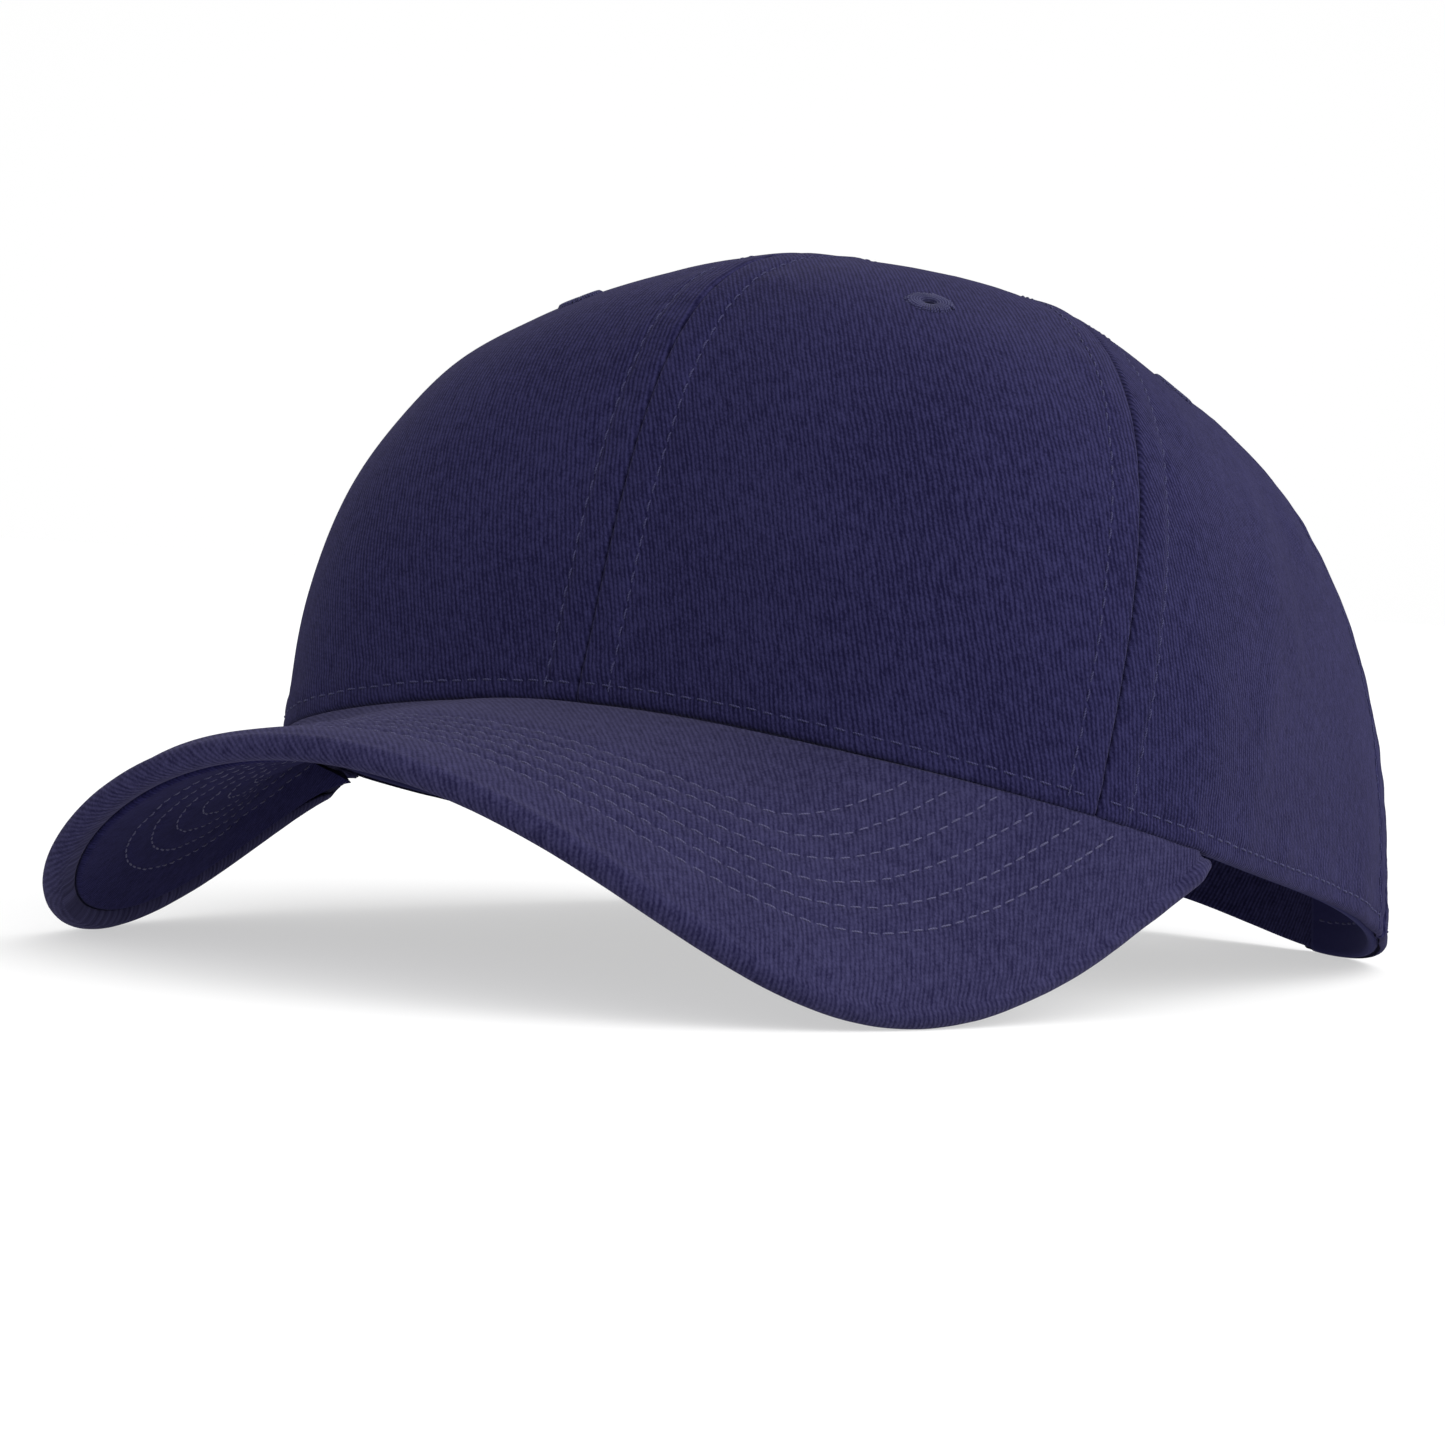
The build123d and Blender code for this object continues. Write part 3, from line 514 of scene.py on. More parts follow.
def make_panel(kind, side):
    a, b = {"front": "cf", "side": "fr", "back": "rb"}[kind]
    a, b = SEAMS[a], SEAMS[b]
    fa, fb = float(a(np.zeros(1))[0]), float(b(np.zeros(1))[0])
    lo, hi = min(fa, float(a(np.array([1.0]))[0])) - 0.15, max(fb, float(b(np.array([0.5]))[0])) + 0.15
    tab = arc_table(lo, hi)
    # rows: fractions of the way up, columns: across
    mid = 0.5 * (fa + fb)
    Lm = arc_from_u(tab, np.array([mid]), np.array([u_at_radius(mid, RING_R)[0]]))[0]
    rows = panel_rows(Lm)
    nm = 46
    nc = 2 * len(NEAR) + nm - 2
    # width at every row height, from the fraction of the arc
    ut = u_at_radius(np.array([float(a(np.array([.97]))[0]), mid, float(b(np.array([.97]))[0])]), RING_R)
    G_phi = np.zeros((len(rows), nc))
    G_u = np.zeros((len(rows), nc))
    cols_w = np.zeros((len(rows), nc))
    for it in range(2):
        for i, s in enumerate(rows):
            if it == 0:
                u = float(u_from_arc(tab, np.array([mid]), np.array([s]))[0])
                pa, pb = float(a(np.array([u]))[0]), float(b(np.array([u]))[0])
                ff = np.linspace(pa, pb, 41)
                W = np.linalg.norm(np.diff(crown(ff, np.full(41, u)), axis=0), axis=1)
                Lc = np.concatenate([[0], np.cumsum(W)])
                Wt = Lc[-1]
                sc = min(1.0, 0.45 * Wt / NEAR[-1])
                left = NEAR * sc
                t = np.concatenate([left, np.linspace(left[-1], Wt - left[-1], nm)[1:-1], Wt - left[::-1]])
                phi = np.interp(t, Lc, ff)
                cols_w[i] = (phi - pa) / (pb - pa)
        if it == 0:
            # the arc at the ring for every column of the last row sets the row's stretch
            w = cols_w
            phi = fa * (1 - w) + fb * w
            u_est = np.full_like(w, 0.5)
            for _ in range(3):
                pa, pb = a(u_est), b(u_est)
                phi = pa * (1 - w) + pb * w
                utop = np.interp(phi, [phi[-1, 0], 0.5 * (phi[-1, 0] + phi[-1, -1]), phi[-1, -1]], ut)
                top = arc_from_u(tab, phi, utop)
                # near the rim rows keep their true height, higher up they stretch to meet the ring
                k = sstep(rows / rows[-1], 0.1, 1.0)[:, None]
                s_here = rows[:, None] * (1 - k) + rows[:, None] / rows[-1] * top * k
                u_est = u_from_arc(tab, phi, s_here)
            G_phi, G_u, S = phi, u_est, s_here
    P = crown(G_phi, G_u)
    N = crown_normal(G_phi, np.minimum(G_u, 0.985))
    seg = np.linalg.norm(np.diff(P, axis=1), axis=-1)
    ta = np.concatenate([np.zeros((len(rows), 1)), np.cumsum(seg, axis=1)], 1)
    tb = ta[:, -1:] - ta
    t = np.minimum(ta, tb)
    Wr = ta[:, -1:]
    # fade of the seam work close to the button, where everything is under it
    room = sstep(Wr, 6.0, 20.0)
    s = S
    seedc = {"front": 100, "side": 200, "back": 300}[kind] + (50 if side == "right" else 0)
    waves = long_waves(P * np.array([1 if side == "left" else -1, 1, 1]), kind)
    hold = sstep(t, 0.0, 26.0) * (0.25 + 0.75 * sstep(s, 0, 30)) * sstep(Wr, 8, 40)
    base = waves * hold
    # relief of the outside only
    relief = np.zeros_like(P[..., 0])
    low = 0.45 + 0.55 * (1 - sstep(s, 60, 120))
    ridge = 0.20 * (1 - sstep(t, 5.2, 6.9)) * room * low
    relief += ridge
    relief += 0.10 * np.sin(np.pi * np.clip((t - 0.6) / 5.2, 0, 1)) * room * low
    relief -= (0.10 + 0.12 * pucker(s, seedc)) * gauss(t, TOPSTITCH, 0.7) * room
    relief += 0.07 * wob(P, 6.5, seedc + 1) * gauss(t, 3.4, 3.0) * room
    relief += 0.09 * wob(P * np.array([1, 1, .5]), 9, seedc + 2) * gauss(t, 9.0, 4.5) * room
    arc_h = G_phi * 85.0
    relief += 0.20 * (1 - sstep(s, 5.9, 7.3))
    relief += 0.08 * np.sin(np.pi * np.clip((s - 0.5) / 5.6, 0, 1))
    relief -= (0.12 + 0.13 * pucker(arc_h - arc_h.min(), seedc + 3)) * gauss(s, HEM, 0.7)
    relief += 0.13 * wob(P * np.array([1, 1, .4]), 8, seedc + 4) * gauss(s, 5.0, 5.0)
    deep = roll(t, 0.95) * np.maximum(room, 0.35) * 1.25 + roll(s, 1.0)
    out_d = -(base + relief) + np.minimum(deep, 1.35)
    in_d = np.maximum(PANEL_T - base, out_d + 0.22)
    out_P = P - N * out_d[..., None]
    in_P = P - N * in_d[..., None]
    # weave coordinates: across from the panel's middle, up from the rim
    cx = (ta - tb) * 0.5
    lean = {"front": 19.0, "side": 12.0, "back": 16.0}[kind]
    th = np.radians(lean)
    hx = cx if side == "left" else -cx
    UV = np.stack([hx * np.cos(th) + s * np.sin(th), -hx * np.sin(th) + s * np.cos(th)], -1) + {"front": 40.0, "side": 170.0, "back": 310.0}[kind] * (1 if side == "left" else -1)
    n, m = P.shape[:2]
    quads = grid_quads(n, m)
    flat_o, flat_i, flat_uv = out_P.reshape(-1, 3), in_P.reshape(-1, 3), UV.reshape(-1, 2)
    c0 = P.reshape(-1, 3)
    quads = orient(c0, quads, N.reshape(-1, 3))
    keep = np.ones(len(quads), bool)
    # opening of the eyelet
    ef, eu = EYES[kind]
    ec, en = crown(ef, eu), crown_normal(ef, eu)
    mid_q = c0[quads].mean(1)
    keep &= np.linalg.norm(np.cross(mid_q - ec, en), axis=1) > 1.9
    if kind == "back":
        D = arch_distance(P).reshape(-1)
        far = P.reshape(-1, 3)[:, 1] > APEX_Y
        D = np.where(far, D, 50.0)
        # move the grid's points near the outline onto it, then drop what lies inside
        dq = D[quads]
        inside = (dq < 0).sum(1)
        cut = far[quads].all(1) & (inside > 0)
        pull = np.zeros(len(D), bool)
        mixed = quads[(inside > 0) & (inside < 4)]
        pull[mixed.ravel()] = True
        snap = np.where(pull & (D < 0))[0]
        # inside points of cut faces go to the outline; faces with no outside point are dropped
        keep &= ~(inside == 4)
        cx0, cz0 = c0[snap, 0], c0[snap, 2]
        w_, t_ = ARCH_HALF, ARCH_TOP - ARCH_BASE
        a_ = np.linspace(0, np.pi, 1441)
        ox = np.concatenate([np.full(200, w_), w_ * np.cos(a_)])
        oz = np.concatenate([np.linspace(-26, ARCH_BASE, 200), ARCH_BASE + t_ * np.sin(a_)])
        for q, idx in enumerate(snap):
            j = np.argmin((ox - cx0[q]) ** 2 + (oz - cz0[q]) ** 2)
            f2, u2 = on_back(np.array([max(ox[j], 0.02)]), np.array([oz[j]]))
            if u2[0] < 0:
                u2 = np.zeros(1)
            pp, nn = crown(f2, u2)[0], crown_normal(f2, u2)[0]
            flat_o[idx] = pp - nn * 0.75
            flat_i[idx] = pp - nn * 0.95
            c0[idx] = pp
        # hem of the opening: double layer with a dent under its row
        D2 = np.abs(D)
        Nf = N.reshape(-1, 3)
        free = ~np.isin(np.arange(len(D)), snap)
        add = 0.24 * (1 - sstep(D, 5.6, 6.9)) - 0.22 * gauss(D, 6.0, 0.75) - roll(np.maximum(D, 0), 1.0)
        add = np.where(free & far & (D < 12), add, 0)
        flat_o = flat_o + Nf * add[:, None]
        gap = ((flat_o - flat_i) * Nf).sum(1)
        thin = free & (gap < 0.22)
        flat_i = np.where(thin[:, None], flat_o - Nf * 0.22, flat_i)
        out_P = flat_o.reshape(out_P.shape)
    quads = quads[keep]
    PANEL[(kind, side)] = dict(P=out_P, N=N, phi=G_phi, u=G_u)
    pts, q, U = closed_sheet(flat_o, flat_i, quads, flat_uv)
    pts, q, U = compact(pts, q, U)
    if side == "right":
        pts = pts * np.array([-1, 1, 1])
        q = q[:, ::-1]
    return build(f"{kind}_{side}_panel_cloth", place(pts), q, (), U, [M_SHELL], "cap")


def surface_at(kind, side, phi, u):
    """Displaced outer surface of a panel at (phi, u), with the right side's still drawn on the left."""
    g = PANEL[(kind, side)]
    out = np.zeros((len(phi), 3))
    nn = np.zeros((len(phi), 3))
    # invert the row/column structure: find nearest grid point, then bilinear by local search
    G, N = g["P"], g["N"]
    F, U_ = g["phi"], g["u"]
    for k in range(len(phi)):
        # row index by u at this angle
        c = np.array([np.interp(phi[k], F[i], np.arange(F.shape[1])) for i in (0, F.shape[0] // 2, F.shape[0] - 1)])
        j = int(np.clip(round(c[1]), 1, F.shape[1] - 2))
        for _ in range(3):
            i = float(np.interp(u[k], U_[:, j], np.arange(U_.shape[0])))
            ii = int(np.clip(round(i), 0, F.shape[0] - 1))
            jj = float(np.interp(phi[k], F[ii], np.arange(F.shape[1])))
            j = int(np.clip(round(jj), 0, F.shape[1] - 1))
        i0, j0 = int(np.clip(math.floor(i), 0, F.shape[0] - 2)), int(np.clip(math.floor(jj), 0, F.shape[1] - 2))
        a, b = i - i0, jj - j0
        w = np.array([(1 - a) * (1 - b), (1 - a) * b, a * (1 - b), a * b])
        q = [(i0, j0), (i0, j0 + 1), (i0 + 1, j0), (i0 + 1, j0 + 1)]
        out[k] = sum(wk * G[qk] for wk, qk in zip(w, q))
        nn[k] = sum(wk * N[qk] for wk, qk in zip(w, q))
    return out, _unit(nn)

# =====================================================================
# materials
# =====================================================================
def tree(name):
    m = bpy.data.materials.new(name)
    m.use_nodes = True
    nt = m.node_tree
    nt.nodes.clear()
    return m, nt


class N_:
    """Short node builder."""

    def __init__(self, nt):
        self.nt = nt

    def __call__(self, kind, ins=None, **props):
        n = self.nt.nodes.new(kind)
        for k, v in props.items():
            setattr(n, k, v)
        for k, v in (ins or {}).items():
            if hasattr(v, "is_output"):
                self.nt.links.new(v, n.inputs[k])
            else:
                n.inputs[k].default_value = v
        return n

    def math(self, op, a, b=None, c=None):
        n = self.nt.nodes.new("ShaderNodeMath")
        n.operation = op
        for k, v in enumerate((a, b, c)):
            if v is None:
                continue
            if hasattr(v, "is_output"):
                self.nt.links.new(v, n.inputs[k])
            else:
                n.inputs[k].default_value = v
        return n.outputs[0]

    def mix(self, f, a, b):
        n = self.nt.nodes.new("ShaderNodeMix")
        n.data_type = "RGBA"
        for k, v in ((0, f), (6, a), (7, b)):
            if hasattr(v, "is_output"):
                self.nt.links.new(v, n.inputs[k])
            else:
                n.inputs[k].default_value = v
        return n.outputs[2]


def twill(name, dark, light, pitch, rib=0.9, bump=0.10, sheen=0.085, tint=(0.55, 0.52, 0.76, 1), rough=0.9, nap=1.0):
    """Brushed cotton twill: slanting ribs in the weave coordinates, uneven yarn and a soft nap."""
    m, nt = tree(name)
    N = N_(nt)
    out = N("ShaderNodeOutputMaterial")
    uv = N("ShaderNodeUVMap", uv_map="weave")
    sc = N("ShaderNodeVectorMath", {0: uv.outputs[0], 1: (100, 100, 100)}, operation="MULTIPLY")
    co = sc.outputs[0]
    xyz = N("ShaderNodeSeparateXYZ", {0: co})
    # slow wander of the ribs
    wn = N("ShaderNodeTexNoise", {"Vector": co, "Scale": 0.13, "Detail": 2.0, "Roughness": 0.5})
    x = N.math("ADD", xyz.outputs[0], N.math("MULTIPLY", N.math("SUBTRACT", wn.outputs[0], 0.5), 0.8))
    y = xyz.outputs[1]

    def stretched(kx, ky, detail, roughness, off=0.0):
        v = N("ShaderNodeCombineXYZ", {0: N.math("MULTIPLY", xyz.outputs[0], kx), 1: N.math("MULTIPLY", y, ky), 2: off})
        return N("ShaderNodeTexNoise", {"Vector": v.outputs[0], "Scale": 1.0, "Detail": detail, "Roughness": roughness}).outputs[0]

    jit = stretched(1.5, 0.8, 3.0, 0.6)
    ph = N.math("ADD", N.math("MULTIPLY", x, 2 * math.pi / pitch), N.math("MULTIPLY", N.math("SUBTRACT", jit, 0.5), 3.6))
    ribs = N.math("MULTIPLY_ADD", N.math("SINE", ph), 0.5, 0.5)
    # the yarn that shows in each rib, one float after another
    yp = N.math("ADD", N.math("MULTIPLY", y, 2 * math.pi / 1.05), N.math("MULTIPLY", ph, 0.5))
    yarn = N.math("MULTIPLY_ADD", N.math("SINE", N.math("ADD", yp, N.math("MULTIPLY", N.math("SUBTRACT", stretched(0.9, 0.9, 2.0, 0.5, 7.0), 0.5), 9.0))), 0.5, 0.5)
    h = N.math("MULTIPLY", ribs, N.math("MULTIPLY_ADD", yarn, 0.38, 0.62))
    # light and dark lengths of yarn, specks of nap, slow unevenness of the dye
    seg = stretched(1.25, 0.33, 2.0, 0.55, 3.0)
    sp = N("ShaderNodeTexNoise", {"Vector": co, "Scale": 2.6, "Detail": 3.0, "Roughness": 0.7}).outputs[0]
    soft = N("ShaderNodeTexNoise", {"Vector": co, "Scale": 0.55, "Detail": 2.0, "Roughness": 0.5}).outputs[0]
    big = N("ShaderNodeTexNoise", {"Vector": co, "Scale": 0.04, "Detail": 3.0, "Roughness": 0.55}).outputs[0]
    f = N.math("MULTIPLY", N.math("SUBTRACT", h, 0.4), rib)
    for t, k in ((seg, 1.1), (sp, 1.5 * nap), (soft, 0.7), (big, 0.5)):
        f = N.math("ADD", f, N.math("MULTIPLY", N.math("SUBTRACT", t, 0.5), k))
    fc = N("ShaderNodeClamp", {0: N.math("ADD", f, 0.46)})
    col = N.mix(fc.outputs[0], (*dark, 1), (*light, 1))
    hh = N.math("ADD", N.math("MULTIPLY", h, 0.8), N.math("MULTIPLY", sp, 0.7))
    bp = N("ShaderNodeBump", {"Height": hh, "Strength": 1.0, "Distance": bump * 0.001})
    bs = N("ShaderNodeBsdfPrincipled", {"Base Color": col, "Roughness": rough, "Normal": bp.outputs[0]})
    bs.inputs["Specular IOR Level"].default_value = 0.0
    bs.inputs["Sheen Weight"].default_value = sheen
    bs.inputs["Sheen Roughness"].default_value = 0.45
    bs.inputs["Sheen Tint"].default_value = tint
    nt.links.new(bs.outputs[0], out.inputs[0])
    return m


def cloth(name, dark, light, scale, bump=0.06, sheen=0.3, tint=(0.5, 0.52, 0.7, 1), rough=0.9, weave=0.0):
    """Plain cloth or felt; weave over 0 is the thread pitch of a plain weave."""
    m, nt = tree(name)
    N = N_(nt)
    out = N("ShaderNodeOutputMaterial")
    uv = N("ShaderNodeUVMap", uv_map="weave")
    sc = N("ShaderNodeVectorMath", {0: uv.outputs[0], 1: (100, 100, 100)}, operation="MULTIPLY")
    co = sc.outputs[0]
    ns = N("ShaderNodeTexNoise", {"Vector": co, "Scale": scale, "Detail": 4.0, "Roughness": 0.65})
    h = ns.outputs[0]
    if weave:
        xyz = N("ShaderNodeSeparateXYZ", {0: co})
        a = N.math("SINE", N.math("MULTIPLY", xyz.outputs[0], 2 * math.pi / weave))
        b = N.math("SINE", N.math("MULTIPLY", xyz.outputs[1], 2 * math.pi / weave))
        h = N.math("ADD", N.math("MULTIPLY", h, 0.5), N.math("MULTIPLY_ADD", N.math("MULTIPLY", a, b), 0.25, 0.25))
    col = N.mix(h, (*dark, 1), (*light, 1))
    bp = N("ShaderNodeBump", {"Height": h, "Strength": 1.0, "Distance": bump * 0.001})
    bs = N("ShaderNodeBsdfPrincipled", {"Base Color": col, "Roughness": rough, "Normal": bp.outputs[0]})
    bs.inputs["Specular IOR Level"].default_value = 0.03
    bs.inputs["Sheen Weight"].default_value = sheen
    bs.inputs["Sheen Roughness"].default_value = 0.5
    bs.inputs["Sheen Tint"].default_value = tint
    nt.links.new(bs.outputs[0], out.inputs[0])
    return m


def thread(name, dark, light, twist=0.45, rough=0.55, sheen=0.3):
    """Twisted thread: fine slanting plies along each stitch."""
    m, nt = tree(name)
    N = N_(nt)
    out = N("ShaderNodeOutputMaterial")
    uv = N("ShaderNodeUVMap", uv_map="weave")
    sc = N("ShaderNodeVectorMath", {0: uv.outputs[0], 1: (100, 100, 100)}, operation="MULTIPLY")
    xyz = N("ShaderNodeSeparateXYZ", {0: sc.outputs[0]})
    ph = N.math("ADD", N.math("MULTIPLY", xyz.outputs[0], 2 * math.pi / twist), N.math("MULTIPLY", xyz.outputs[1], 2 * math.pi * 2 / 1.75))
    w = N.math("MULTIPLY_ADD", N.math("SINE", ph), 0.5, 0.5)
    col = N.mix(w, (*dark, 1), (*light, 1))
    bp = N("ShaderNodeBump", {"Height": w, "Strength": 0.8, "Distance": 0.00006})
    bs = N("ShaderNodeBsdfPrincipled", {"Base Color": col, "Roughness": rough, "Normal": bp.outputs[0]})
    bs.inputs["Specular IOR Level"].default_value = 0.05
    bs.inputs["Sheen Weight"].default_value = sheen
    bs.inputs["Sheen Roughness"].default_value = 0.4
    bs.inputs["Sheen Tint"].default_value = (0.6, 0.62, 0.8, 1)
    nt.links.new(bs.outputs[0], out.inputs[0])
    return m


def plain(name, col, rough, metal=0.0, spec=0.5):
    m, nt = tree(name)
    N = N_(nt)
    out = N("ShaderNodeOutputMaterial")
    bs = N("ShaderNodeBsdfPrincipled", {"Base Color": (*col, 1), "Roughness": rough})
    bs.inputs["Metallic"].default_value = metal
    bs.inputs["Specular IOR Level"].default_value = spec
    nt.links.new(bs.outputs[0], out.inputs[0])
    return m


DARK, LIGHT = (0.0068, 0.0062, 0.0250), (0.0240, 0.0226, 0.0690)


M_SHELL = twill("shell_twill", DARK, LIGHT, 0.77, rib=0.85)
# visor top: the shell twill made lighter, as painted light on the face turned up to the lamps
M_VISOR_PAINTED_LIGHT = twill("visor_twill", (0.0094, 0.0086, 0.0300), (0.0325, 0.0305, 0.0770), 0.81, rib=0.62, bump=0.07)
# visor underside: the same twill made darker and given less sheen, as painted shade on the face turned down
M_UNDER_PAINTED_SHADE = twill("under_twill_painted_shade", (0.0048, 0.0044, 0.0245), (0.0170, 0.0160, 0.0640), 0.81, rib=0.62, bump=0.07, sheen=0.05)
M_STRAP = twill("strap_twill", DARK, LIGHT, 0.77)
M_SEW = thread("sewing_thread", (0.022, 0.021, 0.060), (0.046, 0.045, 0.108), rough=0.8, sheen=0.12)
M_ROWS = thread("visor_thread", (0.042, 0.040, 0.088), (0.074, 0.071, 0.135), rough=0.8, sheen=0.15)
M_EYE = thread("eyelet_thread", (0.016, 0.015, 0.047), (0.040, 0.039, 0.095), rough=0.8, sheen=0.15)
M_BUCK = cloth("buckram", (0.008, 0.008, 0.010), (0.03, 0.03, 0.034), 0.8, weave=0.9)
M_TAPE = cloth("seam_tape", (0.007, 0.007, 0.012), (0.02, 0.02, 0.028), 1.2, weave=0.5)
M_SWEAT = cloth("sweatband_cotton", (0.0075, 0.0070, 0.034), (0.018, 0.017, 0.062), 1.3, weave=0.42, sheen=0.04, tint=(0.4, 0.4, 1.0, 1))
M_FELT = plain("stiffener_felt", (0.015, 0.014, 0.035), 0.95, spec=0.05)
M_LOOP = cloth("loop_pile", (0.006, 0.006, 0.014), (0.03, 0.03, 0.055), 2.2, bump=0.3, sheen=0.8)
M_HOOK = cloth("hook_nylon", (0.008, 0.008, 0.014), (0.03, 0.03, 0.05), 1.5, bump=0.1, sheen=0.1, rough=0.5)
M_BOARD = plain("visor_board_plastic", (0.0085, 0.0080, 0.0290), 0.9, spec=0.05)
M_NYLON = plain("button_plastic", (0.1, 0.1, 0.11), 0.5)
M_RIVET = plain("rivet_metal", (0.55, 0.55, 0.56), 0.35, 1.0)

for _side in ("left", "right"):
    for _kind in ("front", "side", "back"):
        _o = make_panel(_kind, _side)
        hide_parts(f"{_kind}_{_side}_panel")

# =====================================================================
# visor
# =====================================================================
S_END = 0.970
V0 = 0.004
HALF = VISOR_THICK / 2
COVER_T = 0.85
LIP = 2.6
ROWS = [12.4 + 4.8 * k for k in range(6)]
_dense = _edge_at(np.linspace(-1, 1, 1601))


def edge_distance(P):
    flat = np.asarray(P).reshape(-1, 3)
    out = np.empty(len(flat))
    for k in range(0, len(flat), 3000):
        out[k:k + 3000] = np.sqrt(((flat[k:k + 3000, None] - _dense[None]) ** 2).sum(-1).min(1))
    return out.reshape(np.asarray(P).shape[:-1])


def v_at_distance(s, dist):
    vv = np.linspace(0, 1, 81)
    out = []
    for k in np.atleast_1d(s):
        D = edge_distance(visor_mid(np.full(81, k), vv))
        out.append(np.interp(-dist, -D, vv) if D[0] > dist else np.nan)
    return np.array(out)


def edge_frame(s):
    e = 2e-3
    one = np.ones_like(s)
    E = visor_mid(s, one)
    T = _unit(visor_mid(s + e, one) - visor_mid(s - e, one))
    N = visor_normal(s, one)
    O = _unit(np.cross(T, N))
    back = visor_mid(s, 0.9 * one) - E
    O = O * np.where((O * back).sum(-1, keepdims=True) > 0, -1, 1)
    N = _unit(N - (N * O).sum(-1, keepdims=True) * O)
    return E, O, N


def flat_pattern(s):
    """Both ends of every ruling laid out in the plane."""
    R = visor_mid(s, np.zeros_like(s))
    E = visor_mid(s, np.ones_like(s))
    n = len(s)
    c = n // 2
    r2, e2 = np.zeros((n, 2)), np.zeros((n, 2))
    r2[c] = (0, 0)
    e2[c] = (0, np.linalg.norm(E[c] - R[c]))

    def apex(a, b, da, db, side):
        d = np.linalg.norm(b - a)
        x = (da ** 2 - db ** 2 + d ** 2) / (2 * d)
        y = math.sqrt(max(da ** 2 - x ** 2, 0))
        t = (b - a) / d
        return a + t * x + side * y * np.array([-t[1], t[0]])

    for dr in (1, -1):
        k = c
        while 0 <= k + dr < n:
            j = k + dr
            # triangle R_k, E_k, E_j then R_k, E_j, R_j
            side = -dr
            e2[j] = apex(r2[k], e2[k], np.linalg.norm(E[j] - R[k]), np.linalg.norm(E[j] - E[k]), side)
            r2[j] = apex(r2[k], e2[j], np.linalg.norm(R[j] - R[k]), np.linalg.norm(R[j] - E[j]), side)
            k = j
    return r2, e2


ns = 281
SS = np.linspace(-S_END, S_END, ns)
PAT_R, PAT_E = flat_pattern(SS)
VISOR_LEAN = np.radians(42.0)
WIDE = np.linalg.norm(visor_mid(SS, np.ones_like(SS)) - visor_mid(SS, np.zeros_like(SS)), axis=-1)


def half_at(s):
    """Half thickness; the visor thins out where its corners run out under the crown."""
    return HALF * (0.35 + 0.65 * sstep(np.interp(np.abs(s), SS[ns // 2:], WIDE[ns // 2:]), 1.8, 5.2))


def skin_at(s):
    return COVER_T * (0.3 + 0.7 * sstep(np.interp(np.abs(s), SS[ns // 2:], WIDE[ns // 2:]), 1.8, 5.2))


HS, CS = half_at(SS), skin_at(SS)


def pattern_uv(s_idx, v, extra=0.0):
    p = PAT_R[s_idx] + (PAT_E[s_idx] - PAT_R[s_idx]) * np.asarray(v)[..., None]
    c, s = np.cos(VISOR_LEAN), np.sin(VISOR_LEAN)
    # ribs run along +v', which leans from forward towards +X
    return np.stack([p[..., 0] * c - p[..., 1] * s, p[..., 0] * s + p[..., 1] * c], -1)


def row_relief(D, P, seed, depth=0.30):
    """Quilting of the rows: dents at each row and slight swelling between."""
    out = np.zeros_like(D)
    first, last = ROWS[0], ROWS[-1]
    for k, r in enumerate(ROWS):
        out -= depth * gauss(D, r, 0.62) * 0.6
    between = 0.5 - 0.5 * np.cos(2 * np.pi * (D - first) / 4.8)
    out += 0.09 * between * sstep(D, first - 0.5, first + 0.5) * (1 - sstep(D, last - .5, last + 0.5))
    out += 0.20 * sstep(D, 0, 4) * (1 - sstep(D, first - 4.0, first - 0.8))
    out += 0.20 * sstep(D, last + 0.8, last + 5.0)
    near = np.exp(-((np.mod(D - first + 2.4, 4.8) - 2.4) / 1.6) ** 2) * sstep(D, first - 3, first) * (1 - sstep(D, last, last + 3))
    out += 0.05 * wob(P, 5.0, seed) * near
    out += 0.16 * wob(P, 55, seed + 1) + 0.07 * wob(P, 19, seed + 2)
    return out


